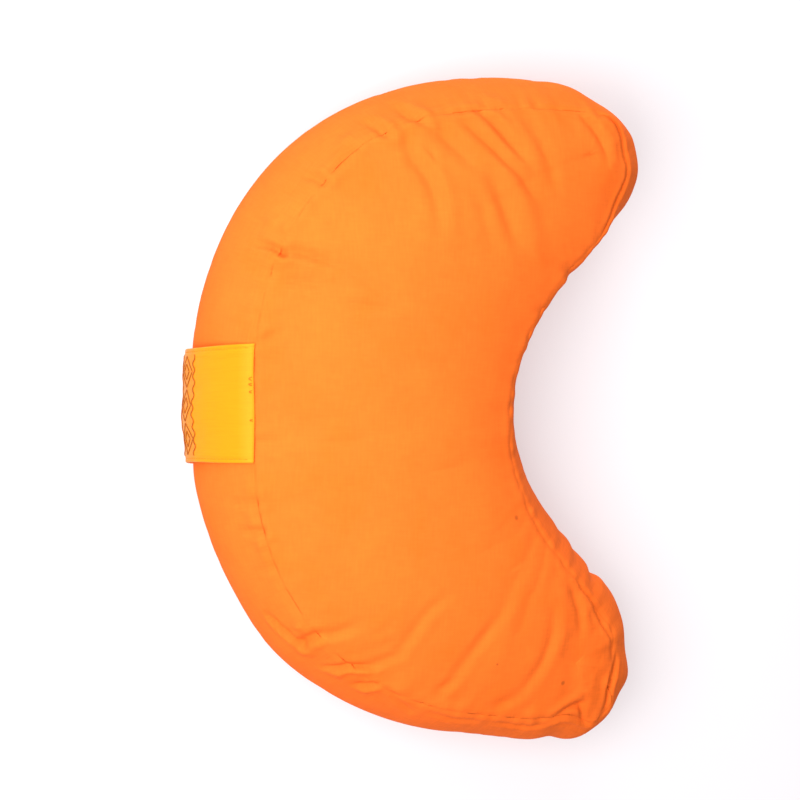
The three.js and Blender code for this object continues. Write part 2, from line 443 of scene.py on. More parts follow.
@dataclass(frozen=True)
class SeamSlip:
    """Where the band's cloth has rolled over the top seam's line, or the panel's over the band.

    Attributes:
        along: place along the seam, from the middle of the back, positive towards the right horn.
        out: how far the seam lies outside its drawn line; the band swells that much less.
        drop: how much lower it lies.
        reach: distance along the seam at which the slip has fallen to a third.
        fuller: how much further the band stands out below it.
    """

    along: float
    out: float
    drop: float
    reach: float
    fuller: float = 0.0


SEAM_SLIPS = (
    SeamSlip(-6, -3.2, 0, 36),
    SeamSlip(195, 3, 0, 30),
    SeamSlip(240, 2.5, 0, 30),
    SeamSlip(357, 0, 0, 28, -2.2),
    SeamSlip(399, 0, 0, 14, 3.3),
    SeamSlip(418, -3, 0, 14),
    SeamSlip(478, 5, 0, 22),
    SeamSlip(560, 2.4, 0, 60),
    SeamSlip(-155, 0, 0, 40, 2.3),
    SeamSlip(-343, 2.5, 0, 30),
    SeamSlip(-364, 0, 0, 10, -2.5),
    SeamSlip(-385, 11, 8, 13, 6),
    SeamSlip(-394, 0, 0, 7, -3),
    SeamSlip(-407, 0, 0, 12, 4),
    SeamSlip(-445, 0, 0, 20, 1.5),
    SeamSlip(-520, -4.5, 0, 60),
)


# ---- Outline and surface ---------------------------------------------------------------------


@dataclass(frozen=True)
class Stations:
    """What panels and band need to know at places round the seam, one entry for each place.

    Attributes:
        point: the seam's plan point.
        outward: plan direction out of the cushion.
        middle: plan point of the panel's middle line that the place faces.
        half_width: half the panel's width there.
        share: share of the way from the middle of the cushion to the horn.
        in_bay: 0 on the back, 1 in the bay, and between them round the horn's end.
        bulge: swell of the band.
        top_seam: height of the top seam.
        seam_drop: how far a slip has lowered the top seam.
        along: distance along the seam, clockwise from the middle of the back.
        mate: number of the middle-line vertex that the place shares with its opposite.
        perimeter: length of the whole seam.
    """

    point: Array
    outward: Array
    middle: Array
    half_width: Array
    share: Array
    in_bay: Array
    bulge: Array
    top_seam: Array
    seam_drop: Array
    along: Array
    mate: Array
    perimeter: float


@dataclass(frozen=True)
class Crescent:
    """The crescent's outline and the smooth filled surface over it.

    Attributes:
        panel: seam outline that both halves share.
        fill: heights and swell.
        right: the half towards +X.
        left: the half towards -X.
    """

    panel: Panel = Panel()
    fill: Fill = Fill()
    right: Horn = RIGHT_HORN
    left: Horn = LEFT_HORN

    def back_curve(self, horn: Horn) -> Array:
        """Squared ellipse x = a|cos|^(2/n), y = c + b|sin|^(2/n), from its middle to the horn.

        Args:
            horn: that half's sizes.

        Returns:
            Plan points on the +X side.
        """
        sizes = self.panel
        power = 2 / horn.squareness
        end = -math.asin(((sizes.centre_y - horn.outer_y) / sizes.back_depth) ** (horn.squareness / 2))
        angle = np.linspace(math.pi / 2, end, CURVE_POINTS)
        x = horn.half_length * np.abs(np.cos(angle)) ** power
        y = sizes.centre_y + np.sign(np.sin(angle)) * sizes.back_depth * np.abs(np.sin(angle)) ** power
        x[0] = 0.0
        return np.stack([x, y], axis=1)

    def bay_curve(self, horn: Horn) -> Array:
        """The bay's arc, then a cubic curve that reaches the horn's corner at its own slope.

        Args:
            horn: that half's sizes.

        Returns:
            Plan points on the +X side.
        """
        sizes = self.panel
        angle = np.linspace(0.0, sizes.bay_half_angle, CURVE_POINTS // 4)
        arc_y = sizes.bay_top_y - sizes.bay_radius * (1 - np.cos(angle))
        arc = np.stack([sizes.bay_radius * np.sin(angle), arc_y], axis=1)
        start = arc[-1]
        end = np.array([horn.inner_x, horn.inner_y])
        handle = np.linalg.norm(end - start) / 3
        leave = start + handle * np.array([math.cos(sizes.bay_half_angle), -math.sin(sizes.bay_half_angle)])
        arrive = end - handle * np.array([math.cos(horn.inner_slope), -math.sin(horn.inner_slope)])
        t = np.linspace(0.0, 1.0, CURVE_POINTS // 4)[1:, None]
        run = (1 - t) ** 3 * start + 3 * (1 - t) ** 2 * t * leave + 3 * (1 - t) * t**2 * arrive + t**3 * end
        return np.concatenate([arc, run])

    def half(self, horn: Horn, density: Density) -> dict[str, Array]:
        """Stations of one half on the +X side, from the back round the horn to the bay.

        Args:
            horn: that half's sizes.
            density: the mesh steps.

        Returns:
            Arrays by the names of Stations, where they are known before the corners are rounded.
        """
        sizes = self.panel
        steps = density.back
        back = evenly(self.back_curve(horn), steps + 1)
        bay = evenly(self.bay_curve(horn), steps + 1)
        share = np.linspace(0.0, 1.0, steps + 1)
        across = np.arange(1, density.horn) / density.horn
        end = back[-1] + (bay[-1] - back[-1]) * across[:, None]
        point = np.concatenate([back, end, bay[::-1]])
        shares = np.concatenate([share, np.ones(len(across)), share[::-1]])
        in_bay = np.concatenate([np.zeros(steps + 1), across, np.ones(steps + 1)])
        slow = sizes.middle_slowing
        slowed = 1 - (np.hypot(1 - shares, slow) - slow) / (math.hypot(1, slow) - slow)
        at = slowed * sizes.middle_stop * steps
        order = np.arange(steps + 1)
        facing = [np.stack([np.interp(at, order, c) for c in line.T], axis=1) for line in (back, bay)]
        bulge = self.bulge(horn, shares, in_bay, point - back[-1], point - bay[-1])
        soft_outer = horn.outer_softness * np.ones(len(point))
        near_inner = bell(np.linalg.norm(point - bay[-1], axis=1), 3 * horn.inner_softness)
        return {
            "point": point,
            "middle": (facing[0] + facing[1]) / 2,
            "half_width": np.linalg.norm(facing[0] - facing[1], axis=1) / 2,
            "share": shares,
            "in_bay": in_bay,
            "bulge": bulge,
            "top_seam": self.fill.top_seam - horn.horn_drop * slowed**3,
            "mate": np.round(shares * steps).astype(int),
            "soft": soft_outer + (horn.inner_softness - soft_outer) * np.maximum(near_inner, in_bay),
        }

    def bulge(self, horn: Horn, share: Array, in_bay: Array, outer: Array, inner: Array) -> Array:
        """Swell of the band: middle, side, bay and horn end blended, and drawn in at the corners.

        Args:
            horn: that half's sizes.
            share: share of the way to the horn.
            in_bay: 0 on the back and 1 in the bay.
            outer: plan offset from the outer corner.
            inner: plan offset from the inner corner.

        Returns:
            How far the band stands out.
        """
        fill = self.fill
        back = fill.middle_bulge + (horn.back_bulge - fill.middle_bulge) * eased(share, 0, fill.back_blend)
        bay = fill.bay_bulge + (horn.bay_bulge - fill.bay_bulge) * eased(share, 0, fill.bay_blend)
        side = back + (bay - back) * in_bay
        swell = side + (horn.horn_bulge - side) * eased(share, fill.horn_blend, 1)
        drawn = horn.outer_draw * bell(np.linalg.norm(outer, axis=1), fill.corner_reach)
        drawn += horn.inner_draw * bell(np.linalg.norm(inner, axis=1), fill.corner_reach)
        return swell * (1 - drawn)

    def stations(self, density: Density) -> Stations:
        """All stations round the seam, clockwise from the middle of the back.

        Args:
            density: the mesh steps.

        Returns:
            The stations, with the outline's corners rounded.
        """
        right = self.half(self.right, density)
        left = self.half(self.left, density)
        for name in ("point", "middle"):
            left[name] = left[name] * [-1, 1]
        left["mate"] = np.where(left["mate"] > 0, left["mate"] + density.back, 0)
        joined = {name: np.concatenate([right[name], left[name][-2:0:-1]]) for name in right}
        soft = joined.pop("soft")
        line = joined["point"]
        *along, length = distances(np.concatenate([line, line[:1]]))
        line = rounding(np.array(along), length, soft) @ line
        *along, length = distances(np.concatenate([line, line[:1]]))
        along = np.array(along)
        run = np.roll(line, -1, axis=0) - np.roll(line, 1, axis=0)
        outward = unit(np.stack([-run[:, 1], run[:, 0]], axis=1))
        drop = np.zeros(len(along))
        for slip in SEAM_SLIPS:
            near = bell((along - slip.along + length / 2) % length - length / 2, slip.reach)
            line = line + outward * (slip.out * near)[:, None]
            joined["bulge"] = joined["bulge"] + (slip.fuller - slip.out) * near
            drop = drop + slip.drop * near
        joined["point"] = line
        joined["top_seam"] = joined["top_seam"] - drop
        return Stations(
            outward=outward, along=along, seam_drop=drop, perimeter=float(length), **joined
        )

    def crown(self, at: Stations, v: Array) -> Array:
        """Rise of the top panel at a share v of the way from its seam to the middle line.

        It is crown_share * half_width * rise(v). From the back the panel climbs like a ramp and rolls
        over, rise = (|1, e| - |1 - v, e|) / (|1, e| - e) with e = back_roll, where |a, e| is the square
        root of a^2 + e^2. From the bay it is rounder: rise = 1 - (1 - v)^bay_fullness.

        Args:
            at: stations, one for each column.
            v: share of the way inwards.

        Returns:
            Heights above the seam.
        """
        roll = self.fill.back_roll
        ramp_side = (math.hypot(1, roll) - np.hypot(1 - v, roll)) / (math.hypot(1, roll) - roll)
        round_side = 1 - (1 - v) ** self.fill.bay_fullness
        mixed = ramp_side + (round_side - ramp_side) * eased(at.in_bay, 0.0, 1.0)
        return self.fill.crown_share * at.half_width * mixed

    def swell(self, at: Stations, share: Array) -> Array:
        """Band's swell at a share of its height: a circular arc through both seams, fuller below.

        Args:
            at: stations, one for each column.
            share: share of the height, from the top.

        Returns:
            How far the band stands out.
        """
        half = (at.top_seam - self.fill.bottom_seam) / 2
        radius = (half**2 + at.bulge**2) / (2 * at.bulge)
        arc = np.sqrt(radius**2 - (half * (1 - 2 * share)) ** 2) - (radius - at.bulge)
        return arc * (1 + self.fill.sag * (2 * share - 1))

    def band(self, at: Stations, share: Array, outside: Array | float = 0.0) -> Array:
        """Points on the band, or at a distance outside it along its own normal.

        Args:
            at: stations, one for each column of the result.
            share: share of the height, 0 at the top seam; its columns match the stations.
            outside: distance from the band.

        Returns:
            Places in millimetres, with x, y and z along the last axis.
        """
        step = 0.01
        height = at.top_seam - self.fill.bottom_seam
        drop = height * 2 * step * np.ones_like(share)
        spread = self.swell(at, share + step) - self.swell(at, share - step)
        normal = unit(np.stack([drop, spread], axis=-1)) * np.asarray(outside)[..., None]
        reach = self.swell(at, share) + normal[..., 0]
        plan = at.point + at.outward * reach[..., None]
        level = at.top_seam - height * share + normal[..., 1]
        return np.concatenate([plan, level[..., None]], axis=-1)


class Zone(Enum):
    """The cloth piece that a ring of the surface belongs to."""

    TOP = 0
    BAND = 1
    BOTTOM = 2


@dataclass(frozen=True)
class Surface:
    """The cushion's closed surface as rings of points, from the top's middle line to the bottom's.

    Attributes:
        at: the stations that the columns stand on.
        points: place of each point, rings by columns by three.
        ring: place of each ring: -1 to 0 on the top panel, 0 to 1 down the band, 1 to 2 below.
        zone: the cloth piece of each ring.
        across: distance of each point from the top seam, negative down the band.
        below: distance of each point from the bottom seam, negative on the bottom panel.
    """

    at: Stations
    points: Array
    ring: Array
    zone: Array
    across: Array
    below: Array

    def normals(self) -> Array:
        """Outward unit directions; they are straight up or down along the two middle lines.

        Returns:
            One direction for each point.
        """
        round_way = np.roll(self.points, -1, axis=1) - np.roll(self.points, 1, axis=1)
        down_way = np.gradient(self.points, axis=0)
        normals = unit(np.cross(round_way, down_way))
        normals[0] = (0, 0, 1)
        normals[-1] = (0, 0, -1)
        return normals

    def moved(self, height: Array) -> Surface:
        """The surface with each point moved out along its normal by its height."""
        return replace(self, points=self.points + self.normals() * height[..., None])


def smooth_surface(form: Crescent, density: Density) -> Surface:
    """The filled body with no seams or creases.

    The top panel climbs by its crown, and its rings lose the outline's corners towards the middle. The
    band is an arc, and the underside curves down to the flat on which the cushion rests. Rings stand
    closer together near the panel's middle line and near both seams.

    Args:
        form: the crescent's sizes.
        density: the mesh steps.

    Returns:
        The surface.
    """
    at = form.stations(density)
    fill = form.fill
    crowding = 1.3
    top = (np.arange(density.crown, 0, -1) / density.crown)[:, None] ** crowding
    even = np.linspace(0.0, 1.0, density.wall + 1)
    seamward = 0.6
    down = ((1 - seamward) * even + seamward * (1 - np.cos(math.pi * even)) / 2)[:, None]
    under = (np.arange(1, density.foot + 1) / density.foot)[:, None] ** 2
    width = np.linalg.norm(at.middle - at.point, axis=1)
    plan_top = at.point + (at.middle - at.point) * top[..., None]
    inside = top * width
    level_top = at.top_seam + form.crown(at, top) + at.seam_drop * eased(inside, 0.0, fill.slip_reach)
    upper = np.concatenate([plan_top, level_top[..., None]], axis=-1)
    soft = rounding(at.along, at.perimeter, np.full(len(at.along), fill.soften))
    share = eased(inside, *fill.soften_from) * (1 - eased(top, *fill.soften_to))
    upper += share[..., None] * (np.einsum("ij,rjk->rik", soft, upper) - upper)
    band = form.band(at, down)
    plan_under = at.point + (at.middle - at.point) * under[..., None]
    level_under = fill.bottom_seam * np.maximum(0, 1 - under / fill.foot_share) ** 2
    level_under = level_under * np.ones(len(at.along))
    lower = np.concatenate([plan_under, level_under[..., None]], axis=-1)

    length = np.cumsum(np.linalg.norm(np.diff(band, axis=0), axis=-1), axis=0)
    length = np.concatenate([np.zeros((1, len(at.along))), length])
    tall = length[-1]
    return Surface(
        at=at,
        points=np.concatenate([upper, band, lower]),
        ring=np.concatenate([-top[:, 0], down[:, 0], 1 + under[:, 0]]),
        zone=np.repeat([zone.value for zone in Zone], [len(top), len(down), len(under)]),
        across=np.concatenate([top * width, -length, -tall - under * width]),
        below=np.concatenate([tall + top * width, tall - length, -under * width]),
    )


# ---- Creases ---------------------------------------------------------------------------------


class Fade(Enum):
    """How a crease's depth changes along it."""

    BOTH_ENDS = "deepest halfway"
    AWAY = "deepest at its start"


@dataclass(frozen=True)
class Crease:
    """A soft trough along a smooth line, or a ridge where its depth is negative.

    Attributes:
        path: points that the line passes.
        depth: depth in the middle of the trough.
        width: distance from the line at which the depth has fallen to a third.
        lips: share of the depth by which the cloth stands up to the left and right of the run.
        power: 2 for a round trough and nearer 1 for a sharp one.
        fade: where it is deepest.
    """

    path: tuple[tuple[float, float], ...]
    depth: float
    width: float
    lips: tuple[float, float] = (0.25, 0.25)
    power: float = 2.0
    fade: Fade = Fade.BOTH_ENDS

    def line(self) -> Array:
        """Points close together on a smooth curve through the path.

        Returns:
            Plan points, one row each.
        """
        path = np.array(self.path, dtype=float)
        length = distances(path)
        return between(length, np.linspace(0.0, length[-1], 5 * len(path))) @ path

    def height(self, x: Array, y: Array) -> Array:
        """Height that the crease adds at each point.

        The cross-section is a bell below the line and a lower, wider bell above it on each side.

        Args:
            x: first coordinate of the points, in the same flat frame as the line.
            y: second coordinate of the points.

        Returns:
            Heights, negative in the trough.
        """
        line = self.line()
        reach = 5 * self.width
        low, high = line.min(axis=0) - reach, line.max(axis=0) + reach
        near = (x > low[0]) & (x < high[0]) & (y > low[1]) & (y < high[1])
        points = np.stack([x[near], y[near]], axis=1)[:, None, :]
        run = np.diff(line, axis=0)
        offset = points - line[:-1]
        share = np.clip((offset * run).sum(axis=-1) / (run**2).sum(axis=-1), 0.0, 1.0)
        away = offset - share[..., None] * run
        distance = np.linalg.norm(away, axis=-1)
        rows = np.arange(len(distance))
        nearest = distance.argmin(axis=1)
        distance = distance[rows, nearest]
        share = (nearest + share[rows, nearest]) / (len(line) - 1)
        run = run[nearest]
        offset = offset[rows, nearest]
        leftward = (run[:, 0] * offset[:, 1] - run[:, 1] * offset[:, 0]) / np.linalg.norm(run, axis=1)
        left, right = self.lips
        lip = right + (left - right) * eased(leftward, -2.0, 2.0)
        lip_at, lip_width = 1.9 * self.width, 1.1 * self.width
        raised = lip * bell(distance - lip_at, lip_width)
        if self.fade is Fade.AWAY:
            strength = np.cos(math.pi / 2 * np.clip(share, 0, 0.97)) ** 0.8
        else:
            strength = np.sin(math.pi * (0.1 + 0.8 * share))
        height = np.zeros(x.shape)
        height[near] = self.depth * strength * (raised - bell(distance, self.width, self.power))
        return height


# Folds of the slack top panel, in plan.
PANEL_FOLDS = (
    # Middle of the back, towards the right horn.
    Crease(((105, 109), (104, 98), (101, 88), (98, 79), (93, 67)), 3.2, 3.4, (0.2, 0.5), 1.6, Fade.AWAY),
    Crease(((93, 67), (88, 60), (80, 48), (73, 35)), 1.6, 4.6, (0.2, 0.4)),
    Crease(((87, 108), (85, 98), (82, 86)), 1.7, 3.6, (0.2, 0.4)),
    Crease(((72, 70), (69, 51), (68, 38)), 1.3, 3.6, (0.2, 0.4)),
    Crease(((45, 125), (49, 118), (54, 108)), 1.5, 3.0, (0.4, 0.2), 1.6, Fade.AWAY),
    Crease(((-19, 125), (-19, 117), (-17, 110)), 1.2, 3.0, (0.4, 0.2), 1.6, Fade.AWAY),
    # Right horn, towards its tip.
    Crease(((186, 33), (178, 26), (167, 22), (158, 15), (148, 11), (137, 8), (119, 7)), 2.2, 5, (0.6, 0.15)),
    Crease(((175, 13), (170, 9), (165, 6)), 1.3, 2.4, power=1.5),
    Crease(((193, 7), (183, -1), (174, -10), (165, -19)), 2.0, 5, (0.4, 0.2)),
    Crease(((160, -29), (147, -35), (133, -41), (116, -48)), 2.2, 6, (0.4, 0.2)),
    Crease(((147, -18), (136, -24), (124, -27), (112, -31)), 1.3, 5),
    Crease(
        ((190, -9), (180, -19), (170, -31), (162, -40), (153, -48), (140, -56), (124, -62), (108, -65)),
        -1.6,
        6.5,
    ),
    Crease(
        ((195, -14), (184, -25), (176, -34), (167, -42), (159, -52), (147, -60)), 1.4, 3.4, (0.3, 0.3), 1.6
    ),
    Crease(((197, -25), (190, -32), (180, -40), (171, -48), (164, -55)), -1.4, 4),
    Crease(
        ((202, -28), (195, -36), (186, -43), (179, -49), (172, -58)), 3.0, 3.4, (0.6, 0.1), 1.5, Fade.AWAY
    ),
    Crease(((200, -46), (189, -56), (174, -65)), -1.5, 5),
    Crease(((180, -70), (168, -75), (152, -78)), 0.9, 5),
    Crease(((205, -101), (195, -111), (185, -118), (174, -122)), 2.2, 3.2, (0.9, 0.1), 1.5),
    Crease(((204, -119), (193, -127), (180, -130)), -1.2, 4),
    # Left horn, from the middle of the back towards the tip.
    Crease(((-159, 68), (-148, 43), (-131, 28), (-120, 25)), -0.8, 6),
    Crease(((-171, 58), (-168, 43), (-162, 25)), 1.2, 3.2, (0.3, 0.3)),
    Crease(((-159, 27), (-146, 18), (-132, 9), (-122, -2)), 1.0, 3.6, (0.2, 0.4)),
    Crease(((-150, 48), (-142, 36), (-132, 30)), 0.7, 3.6, (0.2, 0.5)),
    Crease(((-190, -7), (-172, -18), (-152, -31), (-137, -43), (-127, -49)), 0.75, 3.6, (0.2, 0.4)),
    Crease(((-165, -44), (-148, -50), (-134, -53), (-118, -59)), -0.5, 6),
    Crease(((-187, -5), (-182, -16)), 0.9, 3),
    Crease(((-202, -47), (-194, -66)), 1.0, 4),
    Crease(
        ((-191, -65), (-182, -73), (-172, -79), (-160, -84), (-148, -86), (-136, -85)), 1.0, 4.0, (0.2, 0.5)
    ),
    Crease(((-162, -96), (-138, -95), (-118, -93)), -0.5, 5),
    Crease(((-117, -98), (-128, -105), (-139, -109), (-152, -110)), 1.1, 3.4, (0.5, 0.2)),
)

# Puckers that the seam's thread draws in. The first number is the distance along the seam from
# the middle of the back, positive towards the right horn, and the second the distance from the
# seam, positive on the panel and negative down the band.
SEAM_PUCKERS = (
    Crease(((106, 4), (107, 0), (108, -7), (107, -22)), 4.6, 2.4, (0.3, 0.3), 1.5, Fade.AWAY),
    Crease(((104, 3), (95, 2), (87, 1)), 0.8, 2.6),
    Crease(((88, -1), (70, -1), (48, -1)), 0.8, 3.2),
    Crease(((-26, -1), (-60, -1), (-95, -1), (-132, -2), (-158, -3)), 1.0, 3.0),
    Crease(((116, -1), (117, -7)), 1.2, 3.0),
    Crease(((120, -16), (126, -16)), -1.9, 6),
    Crease(((121, -4), (125, -4)), -1.4, 4),
    Crease(((128, -2), (142, -3), (156, -2)), 1.3, 3.2),
    Crease(((162, 1), (161, -8), (159, -19)), 3.0, 3, (0.5, 0.2), 1.5, Fade.AWAY),
    Crease(((166, 0), (180, 0), (195, -1)), 1.7, 3.2),
    Crease(((191, -12), (199, -12)), -1.8, 5),
    Crease(((215, 2), (214, -10), (211, -23)), 3.2, 3.4, (0.6, 0.2), 1.6, Fade.AWAY),
    Crease(((241, 1), (237, -9), (235, -24)), 3.2, 4, (0.7, 0.2), 1.7, Fade.AWAY),
    Crease(((262, 0), (274, 0), (286, 0)), 1.2, 2.6),
    Crease(((293, -14), (300, -9), (306, -4)), -1.0, 5),
    # The end of the right horn: the seam lies in a sharp crease beside the end wall.
    Crease(((376, 2), (393, 2), (412, 2), (431, 2)), 1.9, 1.8, (0.2, 0.5), 1.4),
    Crease(((431, 0), (453, 2), (476, 1)), 1.7, 1.8, (0.2, 0.4), 1.4),
    # Left of the middle of the back.
    Crease(((-60, 0), (-60, -10), (-61, -23)), 1.6, 3, (0.3, 0.3), fade=Fade.AWAY),
    Crease(((-80, 0), (-79, -7), (-78, -17)), 2.0, 2.8, (0.3, 0.3), fade=Fade.AWAY),
    Crease(((-66, -6), (-71, -6)), -1.4, 4.5),
    Crease(((-86, -4), (-91, -4)), -1.4, 4.5),
    Crease(((-135, -28), (-144, -24), (-152, -21), (-162, -17)), 3.6, 2.3, (0.8, 0.2), 1.4),
    Crease(
        ((-161, -17), (-159, -10), (-160, 1), (-165, 10), (-166, 22)), 3.2, 3.4, (0.6, 0.2), 1.6, Fade.AWAY
    ),
    Crease(((-146, -8), (-151, -8)), -1.9, 4.5),
    Crease(((-183, -19), (-188, -9), (-192, 0), (-203, 9)), 3.2, 2.1, (0.8, 0.1), 1.4),
    Crease(((-191, -15), (-196, -14)), -1.9, 4.5),
    Crease(((-206, -14), (-211, -6), (-215, 0)), 3.0, 2.1, (0.8, 0.1), 1.4),
    Crease(((-212, -14), (-217, -13)), -1.1, 4),
    Crease(((-228, -2), (-238, -7), (-250, -14)), 1.4, 2.6, (0.3, 0.3)),
    Crease(((-262, -7), (-278, -10), (-296, -9)), 1.2, 3.0, (0.3, 0.3)),
    Crease(((-311, -8), (-336, -11), (-350, -7)), 1.6, 2.4, (0.4, 0.2)),
    # The end of the left horn, where cloth is bunched into the seam.
    Crease(((-354, 1), (-367, 6), (-382, 15)), 2.6, 2.6, (0.1, 0.5), 1.4),
    Crease(((-376, 11), (-377, -2)), 1.6, 2.2),
    Crease(((-343, -11), (-357, -6), (-370, -6), (-383, -6), (-388, 2)), -1.5, 2.6),
    Crease(((-426, -5), (-409, -2), (-395, 5), (-388, -2)), 3.6, 2.1, (0.4, 0.3), 1.3),
    Crease(((-486, 1), (-474, 1), (-461, 3), (-449, 4), (-432, 2)), 1.6, 1.7, (0.3, 0.3), 1.5),
    # Upright folds of the band where the bay's curve bunches it.
    Crease(((510, 3), (510, -12), (508, -44)), 0.8, 4.5, (0.4, 0.4), fade=Fade.AWAY),
    Crease(((546, 3), (546, -12), (547, -34)), 0.6, 4, (0.4, 0.4), fade=Fade.AWAY),
    Crease(((-517, -8), (-518, -32), (-517, -60)), 0.4, 5, (0.6, 0.6)),
    Crease(((-498, -6), (-499, -32), (-500, -64)), 0.7, 4.5, (0.6, 0.6)),
    Crease(((-477, -8), (-477, -35), (-475, -66)), 1.1, 4.5, (0.7, 0.7)),
)


@dataclass(frozen=True)
class Unevenness:
    """A random line round the seam: a sum of whole sine waves, about as high as its strength.

    Attributes:
        shortest: shortest wavelength.
        longest: longest wavelength.
        count: number of waves.
        strength: height of the sum.
    """

    shortest: float
    longest: float
    count: int
    strength: float = 1.0

    def line(self, at: Stations, seed: int) -> Array:
        """One value for each station, from random draws that start at the seed.

        Args:
            at: the stations.
            seed: start of the random draws.

        Returns:
            The line's heights.
        """
        draw = np.random.default_rng(seed)
        length = draw.uniform(math.log(self.shortest), math.log(self.longest), self.count)
        turns = np.round(at.perimeter / np.exp(length))
        phase = draw.uniform(0, 2 * math.pi, self.count)
        angle = 2 * math.pi * turns[:, None] * at.along[None, :] / at.perimeter + phase[:, None]
        return self.strength * (np.sin(angle).sum(axis=0) * math.sqrt(2 / self.count))


@dataclass(frozen=True)
class Sewing:
    """What the two seams do to the surface around them.

    Attributes:
        groove: depth of the seam itself.
        groove_width: half width of the seam at a third of its depth.
        groove_change: how that depth changes along the seam.
        roll: height of the turned-in edge beside the seam, where it lies under the panel.
        roll_at: distance of that edge from the seam.
        roll_width: half width of the raised cloth over it.
        roll_change: how that height changes along the seam.
        pull: height of the small unevenness that the thread's tension leaves.
        pull_reach: distance over which it dies away.
        band_fine: its short waves on the band.
        panel_fine: its short waves on the panel.
        pull_long: its long waves, which cross the seam.
        band_long: share of the long waves that shows on the band.
        panel_long: share that shows on the panel.
        seed: start of the random draws.
    """

    groove: float = 0.9
    groove_width: float = 2.0
    groove_change: Unevenness = Unevenness(14, 60, 12, 0.2)
    roll: float = 0.22
    roll_at: float = 4.6
    roll_width: float = 2.6
    roll_change: Unevenness = Unevenness(20, 90, 12, 0.4)
    pull: float = 0.4
    pull_reach: float = 13.0
    band_fine: Unevenness = Unevenness(9, 26, 22, 0.8)
    panel_fine: Unevenness = Unevenness(10, 30, 22, 0.5)
    pull_long: Unevenness = Unevenness(24, 60, 14)
    band_long: float = 0.6
    panel_long: float = 0.7
    seed: int = 41

    def height(self, surface: Surface) -> Array:
        """Height that both seams add: a groove, a roll beside it and the thread's small puckers.

        Args:
            surface: the surface to sew.

        Returns:
            Heights along its normals.
        """
        at = surface.at
        total = np.zeros(surface.across.shape)
        for number, distance in enumerate((surface.across, surface.below)):
            seed = self.seed + 10 * number
            depth = 1 + self.groove_change.line(at, seed)
            roll = 1 + self.roll_change.line(at, seed + 1)
            total -= self.groove * depth * bell(distance, self.groove_width, power=1.6)
            total += self.roll * roll * bell(np.abs(distance) - self.roll_at, self.roll_width)
            long = self.pull_long.line(at, seed + 3)
            on_band = self.band_fine.line(at, seed + 2) + self.band_long * long
            on_panel = self.panel_fine.line(at, seed + 4) + self.panel_long * long
            pull = on_band + (on_panel - on_band) * eased(distance, -2.0, 2.0)
            total += self.pull * pull * np.exp(-np.abs(distance) / self.pull_reach)
        return total


def crease_height(surface: Surface) -> Array:
    """Height that the placed folds and puckers add to the cushion's surface.

    Args:
        surface: the smooth surface.

    Returns:
        Heights along its normals.
    """
    at = surface.at
    signed = np.where(at.along > at.perimeter / 2, at.along - at.perimeter, at.along)
    signed = np.broadcast_to(signed, surface.across.shape)
    on_panel = eased(surface.across, -3.0, 3.0)
    total = np.zeros(surface.across.shape)
    for fold in PANEL_FOLDS:
        total += on_panel * fold.height(surface.points[..., 0], surface.points[..., 1])
    for pucker in SEAM_PUCKERS:
        total += pucker.height(signed, surface.across)
    return total


# ---- Simulated cloth -------------------------------------------------------------------------


